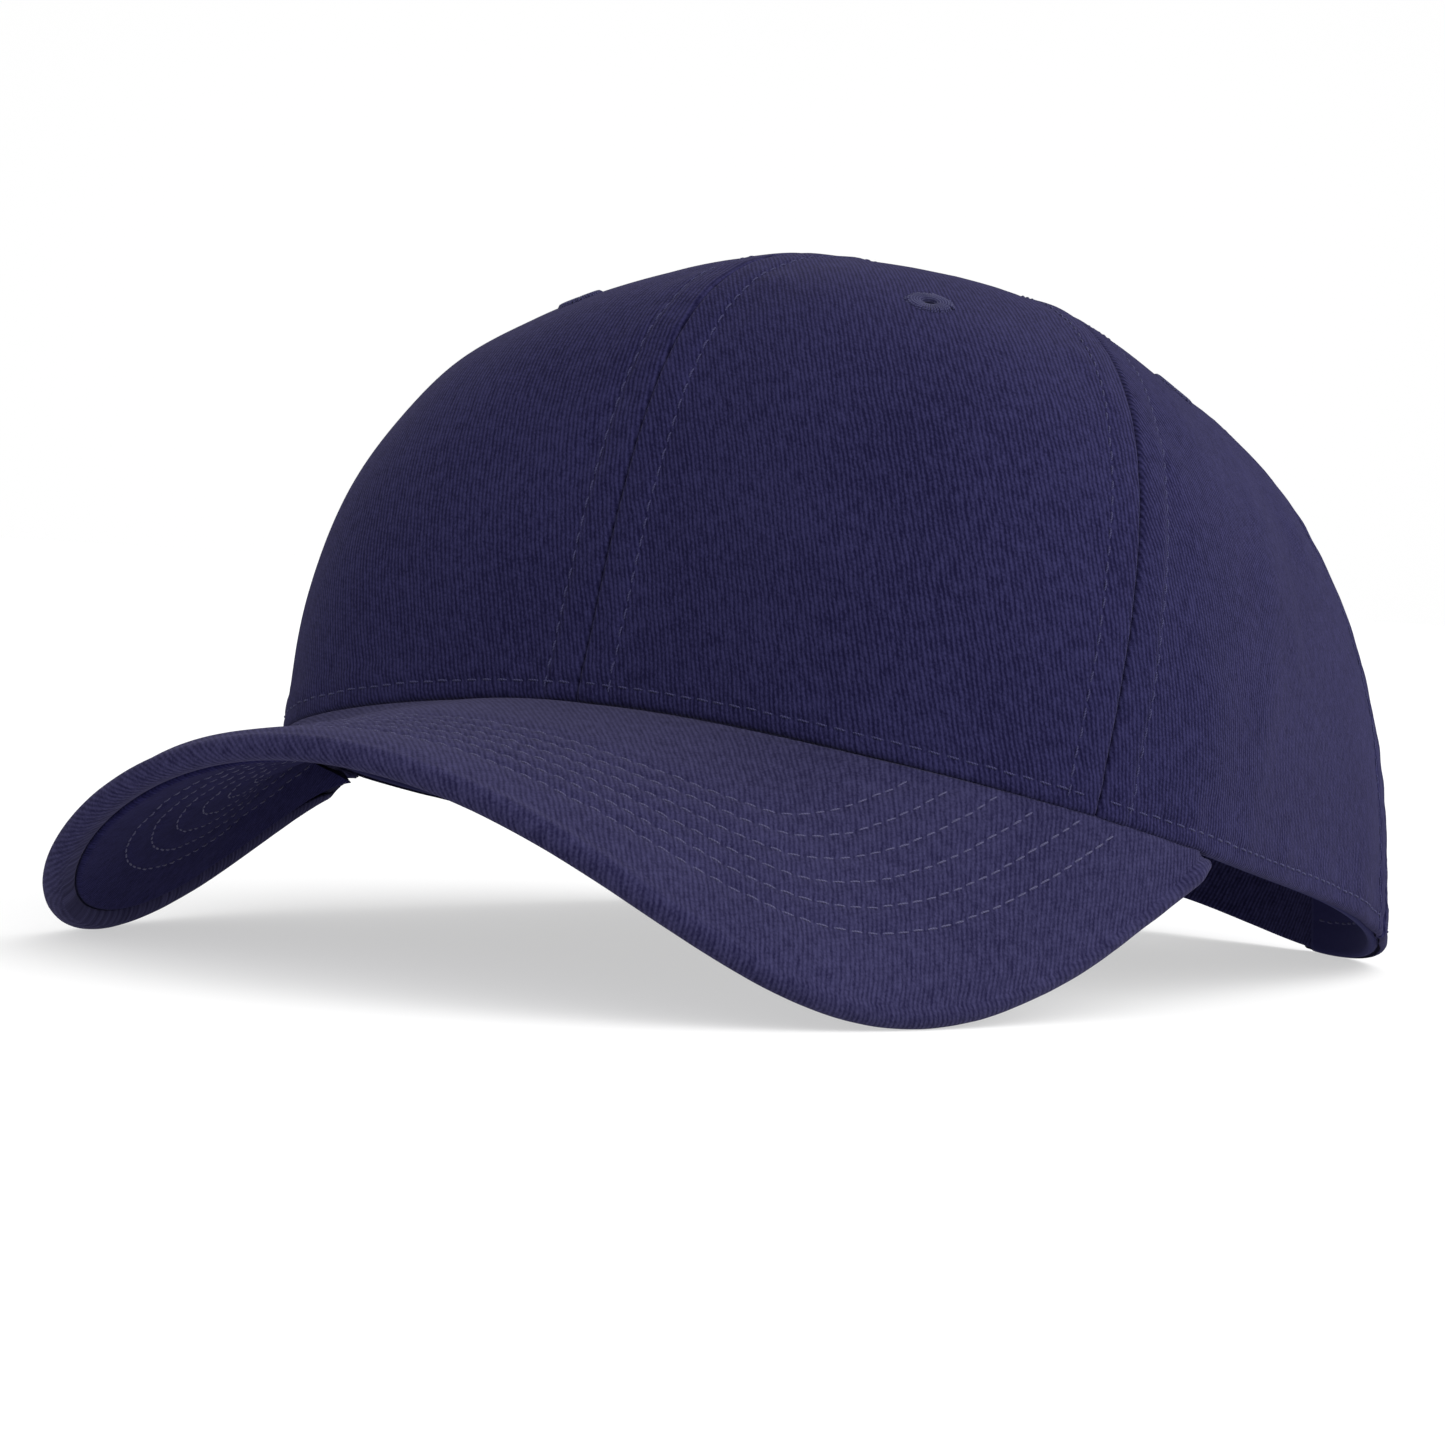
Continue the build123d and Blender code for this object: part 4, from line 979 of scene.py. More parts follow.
def visor_cover():
    nv = 128
    vv = np.linspace(V0, 1.0, nv)
    S, V = np.meshgrid(SS, vv, indexing="ij")
    M = visor_mid(S, V)
    Nn = visor_normal(S, V)
    D = edge_distance(M)
    h = row_relief(D, M, 500) * sstep(D, 0.0, 3.0) * sstep(V * 68, 0.2, 4.0)
    E, O, NE = edge_frame(SS)
    thin = (HS / HALF)[:, None]
    h = h * sstep(thin, 0.6, 1.0)
    top = M + Nn * (HS[:, None] + h)[..., None]
    low = M + Nn * (HS[:, None] + h - CS[:, None])[..., None]
    cols_o, cols_i, uv = [], [], []
    # tuck at the crown: the cover turns down and ends inside
    R0, N0 = M[:, 0], Nn[:, 0]
    inw = _unit(M[:, 0] - M[:, 3])
    tuck = (1 - 0.95 * sstep(np.abs(SS), 0.86, 0.945))[:, None]
    hem_in = (1 - 0.9 * sstep(np.abs(SS), 0.925, 0.965))[:, None]
    for go, down, gi, di in ((1.25, 3.0, 0.45, 3.0), (1.5, 2.3, 0.65, 2.3), (1.52, 1.6, 0.68, 1.7), (1.35, 0.95, 0.6, 1.3), (0.95, 0.45, 0.45, 1.02), (0.45, 0.15, 0.2, 0.9)):
        cols_o.append(R0 + inw * go * thin * (0.55 + 0.45 * tuck) + N0 * (HALF - down * tuck) * thin)
        cols_i.append(R0 + inw * gi * thin * (0.55 + 0.45 * tuck) + N0 * (HALF - di * tuck - 0.3 * (1 - tuck)) * thin)
        uv.append(pattern_uv(np.arange(ns), np.full(ns, 0.0)) - np.array([0, 1.0]) * (go + down))
    for j in range(nv):
        cols_o.append(top[:, j])
        cols_i.append(low[:, j])
        uv.append(pattern_uv(np.arange(ns), np.full(ns, vv[j])))
    # blend the cap of the roll to the top smoothly
    arcw = 0.0
    wav = (0.04 * wob(E, 22, 520) + 0.015 * wob(E, 7, 521))
    for a in np.linspace(90, -90, 17)[1:]:
        a_ = np.radians(a)
        r = HS + wav * np.cos(a_) * thin[:, 0]
        cols_o.append(E + r[:, None] * (O * np.cos(a_) + NE * np.sin(a_)))
        r2 = HS - CS
        cols_i.append(E + r2[:, None] * (O * np.cos(a_) + NE * np.sin(a_)))
        arcw += np.pi * HALF / 16
        uv.append(pattern_uv(np.arange(ns), np.ones(ns)) + _unit(PAT_E - PAT_R) @ np.array([[np.cos(VISOR_LEAN), np.sin(VISOR_LEAN)], [-np.sin(VISOR_LEAN), np.cos(VISOR_LEAN)]]) * arcw)
    for t in (0.5, 1.1, 1.7, 2.1, 2.4, 2.6):
        sink = 0.55 * (t / 2.6) ** 3
        tw = t * np.minimum(1, (WIDE / 6.5))[:, None] * hem_in
        cols_o.append(E - (HALF - sink) * thin * NE - tw * O)
        cols_i.append(E - (HS - CS)[:, None] * NE - tw * 0.96 * O)
        arcw += 0.45
        uv.append(uv[-1] + 0.01)
    out, inn, U = np.stack(cols_o, 1), np.stack(cols_i, 1), np.stack(uv, 1)
    # the two ends of the cover close like a fold
    n, m = out.shape[:2]
    q = grid_quads(n, m)
    ref = normals_of(out.reshape(-1, 3), q)
    up = Nn[ns // 2, nv // 2]
    mid = (ns // 2) * m + nv // 2
    if ref[mid] @ up < 0:
        q = q[:, ::-1]
    P, Q, U2 = closed_sheet(out.reshape(-1, 3), inn.reshape(-1, 3), q, U.reshape(-1, 2))
    # the top cover wears the lightened twill: painted light
    o = build("visor_top_cloth", place(P), Q, (), U2, [M_VISOR_PAINTED_LIGHT], "cap")
    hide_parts("visor_top_cover")
    return S, V, M, Nn, D, h


def under_cover():
    su = np.linspace(-0.942, 0.942, 261)
    vg = v_at_distance(su, LIP + 0.35)
    vg = np.where(np.isfinite(vg), np.maximum(vg, V0 + 0.03), V0 + 0.03)
    nv = 104
    k = np.linspace(0, 1, nv)
    S = np.repeat(su[:, None], nv, 1)
    V = V0 + (vg[:, None] - V0) * k[None]
    M = visor_mid(S, V)
    Nn = visor_normal(S, V)
    D = edge_distance(M)
    h = row_relief(D, M, 560, depth=0.26) - 0.1
    edge = roll(np.maximum(D - LIP - 0.3, 0), 0.7)
    low = M - Nn * (HALF + h - edge)[..., None]
    top = M - Nn * (HALF - COVER_T)
    idx = np.interp(su, SS, np.arange(ns))
    i0 = np.clip(idx.astype(int), 0, ns - 2)
    w = (idx - i0)[:, None]
    r2 = PAT_R[i0] * (1 - w) + PAT_R[i0 + 1] * w
    e2 = PAT_E[i0] * (1 - w) + PAT_E[i0 + 1] * w
    p = r2[:, None] + (e2 - r2)[:, None] * V[..., None]
    c, s = np.cos(-VISOR_LEAN), np.sin(-VISOR_LEAN)
    U = np.stack([p[..., 0] * c - p[..., 1] * s, p[..., 0] * s + p[..., 1] * c], -1) + 200
    n, m = low.shape[:2]
    q = grid_quads(n, m)
    q = orient(low.reshape(-1, 3), q, -Nn.reshape(-1, 3))
    P, Q, U2 = closed_sheet(low.reshape(-1, 3), top.reshape(-1, 3), q, U.reshape(-1, 2))
    # the under cover wears the darkened twill: painted shade
    o = build("visor_under_cloth", place(P), Q, (), U2, [M_UNDER_PAINTED_SHADE], "cap")
    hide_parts("visor_under_cover")


VS = visor_cover()
under_cover()


def visor_rows():
    T = Threads()
    for k, dist in enumerate(ROWS):
        s = np.linspace(-0.935, 0.935, 301)
        v = v_at_distance(s, dist)
        ok = np.isfinite(v) & (v > 0.012)
        s, v = s[ok], v[ok]
        M = visor_mid(s, v)
        Nn = visor_normal(s, v)
        hh = row_relief(np.full(len(s), dist), M, 500)
        T.run(M + Nn * (HALF + hh - 0.02)[:, None], Nn, pitch=2.9, fill=0.88, r=0.16, lift=0.09, sink=0.18, seed=700 + k, rings=6, sides=6)
        hu = row_relief(np.full(len(s), dist), M, 560, depth=0.26) - 0.1
        T.run(M - Nn * (HALF + hu - 0.02)[:, None], -Nn, pitch=2.9, fill=0.88, r=0.16, lift=0.09, sink=0.18, seed=720 + k, rings=6, sides=6)
    o = T.make("visor_rows_thread", M_ROWS)
    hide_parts("visor_stitching")


visor_rows()

# =====================================================================
# rows of sewing on the crown
# =====================================================================
def two_sides(T, kind, phi, u, seed, s0=0.0):
    """The same row of stitches on the left and the right panel."""
    for side, sg in (("left", 1), ("right", -1)):
        P, N = surface_at(kind, side, phi, u)
        fl = np.array([sg, 1, 1])
        T.run((P + N * 0.04) * fl, N * fl, pitch=STITCH, fill=0.76, r=0.16, lift=0.05, sink=0.22, seed=seed + (40 if sg < 0 else 0), s0=s0)


def crown_rows():
    T = Threads()
    seed = 800
    for key, kinds, stop in (("c", [("front", 1)], 13.0), ("f", [("front", -1), ("side", 1)], 15.0), ("r", [("side", -1), ("back", 1)], 13.0), ("b", [("back", -1)], 13.0)):
        for kind, sd in kinds:
            u1 = u_at_radius(SEAMS[key](np.array([0.9])), stop)[0]
            u0 = 0.004
            if key == "b":
                u0 = float(on_back(np.array([TOPSTITCH]), np.array([ARCH_TOP + 0.8]))[1][0])
            u = np.linspace(u0, u1, 260)
            phi = beside(SEAMS[key](u), u, sd * TOPSTITCH)
            seed += 1
            two_sides(T, kind, phi, u, seed, s0=0.6)
    o = T.make("crown_rows_thread", M_SEW)
    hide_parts("crown_topstitching")
    T = Threads()
    f_end = float(on_back(np.array([ARCH_HALF + 1.0]), np.array([0.0]))[0][0])
    for kind, fa, fb in (("front", 0.012, np.radians(SEAM_1) - 0.016), ("side", np.radians(SEAM_1) + 0.016, np.radians(SEAM_2) - 0.016), ("back", np.radians(SEAM_2) + 0.016, f_end)):
        phi = np.linspace(fa, fb, 200)
        tab = arc_table(fa - 0.05, fb + 0.05, 31, 201, 0, 0.3)
        u = u_from_arc(tab, phi, np.full(200, HEM))
        seed += 1
        two_sides(T, kind, phi, u, seed)
    o = T.make("hem_rows_thread", M_SEW)
    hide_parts("hem_stitching")
    # row round the back opening
    T = Threads()
    w, t = ARCH_HALF + 6.0, ARCH_TOP - ARCH_BASE + 6.0
    a = np.linspace(0.03, np.pi / 2 - 0.06, 160)
    phi, u = on_back(w * np.cos(a), ARCH_BASE + t * np.sin(a))
    two_sides(T, "back", phi, u, 861)
    T.make("opening_row_thread", M_SEW)


crown_rows()

# =====================================================================
# eyelets
# =====================================================================
def eyelets():
    T = Threads()
    for kind in ("front", "side", "back"):
        f, u = EYES[kind]
        rng = np.random.default_rng(900 + int(f * 10))
        for sgn, side in ((1, "left"), (-1, "right")):
            P, N = surface_at(kind, side, np.array([f]), np.array([u]))
            P, N = P[0], N[0]
            up = _unit(np.array([0, 0, 1.0]) - N * N[2])
            rt = np.cross(up, N)
            n = 46
            for k in range(n):
                a = 2 * np.pi * (k + rng.normal() * 0.06) / n
                d = rt * np.cos(a) + up * np.sin(a)
                r0, r1 = 0.95, 3.85 + rng.normal() * 0.16
                t = np.linspace(0, 1, 9)
                rr = r0 + (r1 - r0) * t
                # down into the hole, over the ring, back into the cloth
                hh = 0.30 * np.sin(np.pi * np.clip(t * 0.93 + 0.10, 0, 1)) ** 0.6 - 0.06
                hh[0] -= 0.75
                hh[-1] -= 0.25
                rr[0] = r0 + 0.12
                X = P + rr[:, None] * d + (hh + 0.12)[:, None] * N
                w = 0.075 + 0.20 * (rr - r0) / (r1 - r0)
                X = X * np.array([sgn, 1, 1])
                T.tube(X, np.repeat((N * np.array([sgn, 1, 1]))[None], 9, 0), w, flat=1.0, sides=6)
    o = T.make("eyelet_thread_rings", M_EYE, slot="eyelet_thread")
    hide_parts("eyelets")


eyelets()

# =====================================================================
# inside: buckram, tapes, binding, sweatband
# =====================================================================
def lofted(name, centre, N, half, mat, node=None, body="cap", uv=None, relief=None, edge=0.35, mirror_x=False):
    """Closed flat strip: centre (n, m, 3) grid of points with normals; half is half its thickness."""
    n, m = centre.shape[:2]
    hh = np.full((n, m), half)
    q = grid_quads(n, m)
    q = orient(centre.reshape(-1, 3), q, N.reshape(-1, 3))
    r = relief if relief is not None else 0.0
    a = centre + N * (hh + r)[..., None]
    b = centre - N * hh[..., None]
    if uv is None:
        du = np.concatenate([np.zeros((n, 1)), np.cumsum(np.linalg.norm(np.diff(centre, axis=1), axis=-1), axis=1)], 1)
        dv = np.concatenate([np.zeros((1, m)), np.cumsum(np.linalg.norm(np.diff(centre, axis=0), axis=-1), axis=0)], 0)
        uv = np.stack([du, dv], -1)
    P, Q, U = closed_sheet(a.reshape(-1, 3), b.reshape(-1, 3), q, uv.reshape(-1, 2))
    if mirror_x:
        P, Q = P * np.array([-1, 1, 1]), Q[:, ::-1]
    o = build(name, place(P), Q, (), U, [mat], body)
    if node:
        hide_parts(node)
    return o


def shell_n(phi, u, d):
    return crown(phi, u) - crown_normal(phi, np.minimum(u, 0.985)) * np.asarray(d)[..., None]


def buckrams():
    k = 60
    u = np.linspace(0.05, 0.8, k)
    w = np.linspace(0, 1, k)
    pa, pb = beside(SEAMS["c"](u), u, 1.0), beside(SEAMS["f"](u), u, -1.0)
    phi = pa[:, None] * (1 - w) + pb[:, None] * w
    U_ = np.repeat(u[:, None], k, 1)
    C = shell_n(phi, U_, np.full((k, k), 0.96))
    N = crown_normal(phi, U_)
    for side in ("left", "right"):
        lofted(f"front_{side}_backing", C, N, 0.15, M_BUCK, f"front_{side}_buckram", mirror_x=(side == "right"))


def tape_strip(name, C, N, node, mirror_x=False, T=None):
    """C (n, 5..) grid across the tape; two stitch rows."""
    o = lofted(name, C, N, 0.17, M_TAPE, node, mirror_x=mirror_x)
    if T is not None:
        m = C.shape[1]
        for j in (1, m - 2):
            P, Nn = C[:, j] - N[:, j] * 0.19, -N[:, j]
            if mirror_x:
                P, Nn = P * np.array([-1, 1, 1]), Nn * np.array([-1, 1, 1])
            T.run(P, Nn, pitch=3.0, fill=0.7, r=0.19, lift=0.03, sink=0.2, seed=j + 17, sides=6, rings=6)
    return o


def tapes(T):
    for name, key, stop in (("front", "f", 19.0), ("rear", "r", 15.0)):
        u1 = u_at_radius(SEAMS[key](np.array([0.9])), stop)[0]
        n = 60
        u = np.linspace(0.02, u1, n)
        c = SEAMS[key](u)
        ks = (-1, -0.72, -0.35, 0, 0.35, 0.72, 1)
        phi = np.stack([beside(c, u, k * 6.0) for k in ks], 1)
        U_ = np.repeat(u[:, None], len(ks), 1)
        bend = 0.25 * (1 - np.abs(np.array(ks)))[None]
        C = shell_n(phi, U_, 1.62 + bend + 0 * U_)
        N = crown_normal(phi, U_)
        for side in ("left", "right"):
            tape_strip(f"{name}_{side}_tape_cloth", C, N, f"{name}_{side}_seam_tape", side == "right", T)
    # centre tape over the top
    rows = []
    xs = np.array([-6.0, -4.3, -2.1, 0.0, 2.1, 4.3, 6.0])
    lines = [slice_line(x, 120, ARCH_TOP + 1.5) for x in xs]
    P = np.stack([a for a, b in lines], 1)
    N = np.stack([b for a, b in lines], 1)
    d = 1.62 + 0.25 * (1 - np.abs(xs) / 6.0)
    C = P - N * d[None, :, None]
    tape_strip("center_tape_cloth", C, N, "center_seam_tape", False, T)


def slice_line(x, n, z_end):
    """Points where the crown has this x, from the front rim over the top to the back, and normals."""
    if abs(x) < 1e-6:
        u = np.linspace(0.02, 1, 120)
        A = crown(0 * u, u)
        v = np.linspace(1, 0.1, 120)[1:]
        B = crown(0 * v + np.pi, v)
        P = np.concatenate([A, B])
        N = np.concatenate([crown_normal(0 * u, np.minimum(u, 0.97)), crown_normal(0 * v + np.pi, np.minimum(v, 0.97))])
    else:
        f = np.concatenate([np.geomspace(1e-3, 1, 300), np.linspace(1, np.pi - 1, 200)[1:], np.pi - np.geomspace(1e-3, 1, 300)[::-1][1:]])
        P, N = [], []
        uu = np.linspace(0, 1, 801)
        for phi in f:
            X = crown(phi, uu)[:, 0]
            if X[:700].max() < abs(x):
                continue
            k = np.where(X >= abs(x))[0].max()
            if k >= 800:
                continue
            t = (X[k] - abs(x)) / (X[k] - X[k + 1])
            u1 = uu[k] + t * (uu[k + 1] - uu[k])
            if u1 < 0.02:
                continue
            P.append(crown(phi, u1)); N.append(crown_normal(phi, min(u1, 0.97)))
        P, N = np.array(P), np.array(N)
        P[:, 0], N[:, 0] = P[:, 0] * np.sign(x), N[:, 0] * np.sign(x)
    keep = (P[:, 1] < APEX_Y) | (P[:, 2] > z_end)
    P, N = P[keep], N[keep]
    keep = (P[:, 1] > 0) | (P[:, 2] > 16.0)
    P, N = P[keep], N[keep]
    L = np.concatenate([[0], np.cumsum(np.linalg.norm(np.diff(P, axis=0), axis=1))])
    q = np.linspace(0, L[-1], n)
    Pq = np.stack([np.interp(q, L, P[:, k]) for k in range(3)], -1)
    Nq = _unit(np.stack([np.interp(q, L, N[:, k]) for k in range(3)], -1))
    for _ in range(8):
        Nq[1:-1] = _unit(Nq[:-2] + 2 * Nq[1:-1] + Nq[2:])
    return Pq, Nq


def binding():
    n = 70
    t = np.linspace(np.radians(4), np.radians(176), n)
    rows, nn = [], []
    for g in (0.5, 1.5, 3.0, 5.0, 6.6, 8.0):
        w, h = ARCH_HALF + g, ARCH_TOP + g - ARCH_BASE
        x, z = w * np.cos(t), ARCH_BASE + h * np.sin(t)
        phi, u = on_back(np.abs(x), z)
        P, N = crown(phi, u), crown_normal(phi, u)
        P[:, 0] *= np.sign(x + 1e-9)
        N[:, 0] *= np.sign(x + 1e-9)
        rows.append(P - N * 1.13)
        nn.append(N)
    lofted("opening_binding_cloth", np.stack(rows, 1), np.stack(nn, 1), 0.15, M_TAPE, "arch_binding")


def phi_at_x(x):
    f = np.linspace(np.radians(100), np.pi, 800)
    return float(np.interp(-x, -rim(f)[:, 0], f))


def sweatband(T):
    fb = phi_at_x(47.5)
    n = 460
    f = np.linspace(-fb, fb, n)
    prof = [(1.42, 1.75), (1.42, 1.3), (1.47, 0.95), (1.65, 0.66), (1.95, 0.48), (2.25, 0.45), (2.6, 0.55), (2.82, 0.8), (2.9, 1.2)]
    prof += [(2.9, s) for s in (1.8, 2.6, 3.6, 4.6, 5.4, 6.0, 6.4, 6.8, 7.4, 8.4, 10, 12, 14.5, 17, 19.5, 22, 24.5, 27, 29.5, 31.2, 32.2, 32.8, 33.1)]
    prof = np.array(prof)
    # side of the profile that faces the head, for the closed skin
    tang = np.gradient(prof, axis=0)
    tang /= np.linalg.norm(tang, axis=1, keepdims=True)
    nrm = np.stack([tang[:, 1], -tang[:, 0]], 1)     # (depth, up): towards the head on the long leg
    tab = arc_table(0, np.pi, 61, 301, 0, 0.6)
    F = np.repeat(f[:, None], len(prof), 1)

    def at(off):
        q = prof + nrm * off[:, None]
        d, s = np.repeat(q[None, :, 0], n, 0), np.repeat(q[None, :, 1], n, 0)
        u = u_from_arc(tab, np.abs(F), np.maximum(s, 0))
        P, N = crown(np.abs(F), u), crown_normal(np.abs(F), u)
        sg = np.where(F < 0, -1.0, 1.0)
        P[..., 0] *= sg
        N[..., 0] *= sg
        # under the rim line the band drops below the crown's edge
        lowz = np.minimum(s, 0)
        return P - N * d[..., None] + np.array([0, 0, 1.0]) * lowz[..., None], N

    half = np.full(len(prof), 0.33)
    half[-3:] = (0.30, 0.22, 0.10)
    half[:2] = (0.2, 0.28)
    A, N = at(half)
    B, _ = at(-half)
    long_leg = np.arange(len(prof)) > 9
    wv = 0.16 * wob(A, 26, 61) + 0.07 * wob(A * np.array([1, 1, .4]), 8, 62)
    s = prof[:, 1][None]
    rel = (wv * sstep(s, 6, 14) - 0.16 * gauss(s, 6.2, 0.6) - 0.14 * gauss(s, 30.6, 0.5)) * long_leg[None]
    A = A - N * rel[..., None]
    q = grid_quads(n, len(prof))
    nn = normals_of(A.reshape(-1, 3), q)
    k = (n // 2) * len(prof) + 20
    if nn[k] @ N[n // 2, 20] > 0:
        q = q[:, ::-1]
    L = np.concatenate([[0], np.cumsum(np.linalg.norm(np.diff(rim(np.abs(f)) * np.stack([np.where(f < 0, -1, 1), np.ones(n), np.ones(n)], 1), axis=0), axis=1))])
    pl = np.concatenate([[0], np.cumsum(np.linalg.norm(np.diff(prof, axis=0), axis=1))])
    UV = np.stack([np.repeat(L[:, None], len(prof), 1), np.repeat(pl[None], n, 0)], -1)
    P, Q, U = closed_sheet(A.reshape(-1, 3), B.reshape(-1, 3), q, UV.reshape(-1, 2))
    o = build("sweatband_cloth", place(P), Q, (), U, [M_SWEAT], "cap")
    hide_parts("sweatband")
    for j in (int(np.argmin(abs(prof[:, 1] - 6.4))), len(prof) - 4):
        T.run(A[:, j] - N[:, j] * 0.02, -N[:, j], pitch=3.0, fill=0.75, r=0.2, lift=0.05, sink=0.2, seed=40 + j, sides=6, rings=6)


TI = Threads()
buckrams()
tapes(TI)
binding()
sweatband(TI)
TI.make("inside_rows_thread", M_SEW)


# =====================================================================
# button
# =====================================================================
def apex_frame():
    f = np.radians(np.arange(0, 360, 10.0))
    R = np.array([crown(k, u_at_radius(k, 7.0)[0]) for k in f])
    c = R.mean(0)
    n = np.linalg.svd(R - c)[2][-1]
    n = n * np.sign(n[2])
    return np.array([0.0, APEX_Y, APEX_Z]), _unit(np.array([0, n[1], n[2]]))


def button():
    AP, AN = apex_frame()
    R_, H_, base = 7.0, 3.6, 0.25
    ex = np.array([1.0, 0, 0])
    ey = np.cross(AN, ex)
    na, nr = 96, 30
    t = np.linspace(0.0, np.pi / 2, nr)
    prof = [(R_ * np.sin(k), base + 0.9 + (H_ - 0.9) * np.cos(k)) for k in t[1:]]
    prof += [(R_ - 0.02, base + 0.6), (R_ - 0.12, base + 0.3), (R_ - 0.45, base + 0.08), (R_ - 1.0, base + 0.02), (4.4, base + 0.02), (4.25, base + 0.2), (4.4, base + 0.42), (R_ - 1.25, base + 0.46), (R_ - 0.95, base + 0.6)]
    prof += [((R_ - 0.8) * np.sin(k), base + 0.9 + (H_ - 1.7) * np.cos(k)) for k in t[1:][::-1]]
    prof = np.array(prof)
    a = np.arange(na) / na * 2 * np.pi
    A, K = np.meshgrid(a, np.arange(len(prof)), indexing="ij")
    r, h = prof[K][..., 0], prof[K][..., 1]
    outer = K < nr + 3
    gather = 0.10 * np.sin(A * 14 + 1.3 * np.sin(A * 3)) * sstep(r, 4.6, 6.9) * (h > base + 0.2) * outer
    r = r + gather
    P = AP + ex * (r * np.cos(A))[..., None] + ey * (r * np.sin(A))[..., None] + AN * h[..., None]
    m = len(prof)
    i, j = np.meshgrid(np.arange(na), np.arange(m - 1), indexing="ij")
    i2 = (i + 1) % na
    Q = np.stack([i * m + j, i2 * m + j, i2 * m + j + 1, i * m + j + 1], -1).reshape(-1, 4)
    pts = P.reshape(-1, 3)
    top = len(pts)
    pts = np.concatenate([pts, [AP + AN * (base + H_)], [AP + AN * (base + H_ - 0.8)]])
    k = np.arange(na)
    k2 = (k + 1) % na
    Tt = np.concatenate([np.stack([k * m, np.full(na, top), k2 * m], 1)[:, [0, 2, 1]] * 1, np.stack([k * m + m - 1, k2 * m + m - 1, np.full(na, top + 1)], 1)])
    # outward facing check
    c = pts[Q].mean(1)
    n = np.cross(pts[Q[:, 1]] - pts[Q[:, 0]], pts[Q[:, 2]] - pts[Q[:, 1]])
    if n[5] @ (c[5] - AP) < 0:
        Q = Q[:, ::-1]
    d = pts[Tt[0]]
    if np.cross(d[1] - d[0], d[2] - d[1]) @ AN < 0:
        Tt[:na] = Tt[:na, ::-1]
    d = pts[Tt[-1]]
    if np.cross(d[1] - d[0], d[2] - d[1]) @ AN > 0:
        Tt[na:] = Tt[na:, ::-1]
    uv = np.stack([(pts - AP) @ ex + 3 * 0, (pts - AP) @ ey], -1) * 1.15
    c, s = np.cos(0.5), np.sin(0.5)
    uv = np.stack([uv[:, 0] * c + uv[:, 1] * s, -uv[:, 0] * s + uv[:, 1] * c], -1) + 60
    o = build("button_cloth", place(pts), Q, Tt, uv, [M_SHELL], "cap")
    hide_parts("button_cover")


button()


# =====================================================================
# strap at the back
# =====================================================================
def strip(f0, f1, depth, thick, tip0=0.0, tip1=0.0, n=90, grow=0.0, W=24.0):
    """Rows of points along the rim line: centre (n, m, 3), normals, across-coordinate."""
    f = np.linspace(f0, f1, n)
    L = np.concatenate([[0], np.cumsum(np.linalg.norm(np.diff(rim_any(f), axis=0), axis=1))])
    half = np.full(n, W / 2 - grow)
    for tip, dist in ((tip0, L), (tip1, L[-1] - L)):
        if tip:
            q = np.clip(1 - dist / tip, 0, 1)
            half = half - 5.0 * (1 - np.sqrt(1 - q ** 2))
    k = np.sin(np.linspace(-np.pi / 2, np.pi / 2, 25))
    fm = np.where(f > np.pi, 2 * np.pi - f, f)
    tab = arc_table(min(fm) - 0.02, min(np.pi, max(fm) + 0.02), 61, 201, 0, 0.5)
    s = 12.5 + k[None] * half[:, None]
    Fm = np.repeat(fm[:, None], len(k), 1)
    u = u_from_arc(tab, Fm, s)
    P, N = crown(Fm, u), crown_normal(Fm, u)
    sg = np.where(f > np.pi, -1.0, 1.0)[:, None]
    P[..., 0] *= sg
    N[..., 0] *= sg
    d = depth(f)[:, None] + thick / 2
    return P - N * (d + 0 * s)[..., None], N, L, half, k, f


def rim_any(f):
    f = np.asarray(f, float)
    fm = np.where(f > np.pi, 2 * np.pi - f, f)
    p = rim(fm)
    p[..., 0] *= np.where(f > np.pi, -1, 1)
    return p


def strap_cloth(name, C, N, L, half, k, thick, mat, body, node, tip0, tip1, T=None, wave=0.12, seed=1, row=2.2):
    n, m = C.shape[:2]
    across = k[None] * half[:, None]
    edge = np.minimum(half[:, None] - np.abs(across), 9)
    for tip, dist in ((tip0, L), (tip1, L[-1] - L)):
        edge = np.minimum(edge, np.maximum(dist[:, None], 0)) if True else edge
    t = 0.5 * thick * np.sqrt(np.clip(1 - (1 - np.clip(edge / (0.5 * thick + 0.15), 0, 1)) ** 2, 0.02, 1))
    dent = 0.10 * gauss(edge, row, 0.45)
    w = wave * wob(C, 18, seed) * sstep(edge, 0, 3)
    a = C + N * (t - dent + w)[..., None]
    b = C - N * (t - dent - w)[..., None]
    q = grid_quads(n, m)
    q = orient(C.reshape(-1, 3), q, N.reshape(-1, 3))
    lean = np.radians(28)
    uu, vv = np.repeat(L[:, None], m, 1), across
    UV = np.stack([uu * np.cos(lean) + vv * np.sin(lean), -uu * np.sin(lean) + vv * np.cos(lean)], -1)
    P, Q, U = closed_sheet(a.reshape(-1, 3), b.reshape(-1, 3), q, UV.reshape(-1, 2))
    o = build(name, place(P), Q, (), U, [mat], body)
    if node:
        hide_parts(node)
    if T is not None:
        for sgn in (-1, 1):
            # row of stitches a little in from the edge
            j = [int(np.argmin(np.abs(across[i] - sgn * (half[i] - row)))) for i in range(n)]
            P1 = np.array([a[i, j[i]] for i in range(n)])
            off = np.array([sgn * (half[i] - row) - across[i, j[i]] for i in range(n)])
            acr = _unit(np.array([C[i, min(j[i] + 1, m - 1)] - C[i, max(j[i] - 1, 0)] for i in range(n)]))
            P1 = P1 + acr * off[:, None]
            N1 = np.array([N[i, j[i]] for i in range(n)])
            lo = (L > row) & (L < L[-1] - row)
            T.run(P1[lo] + N1[lo] * 0.05, N1[lo], pitch=3.0, fill=0.78, r=0.21, lift=0.05, sink=0.2, seed=seed + 3 + sgn, sides=6, rings=6)
    return o


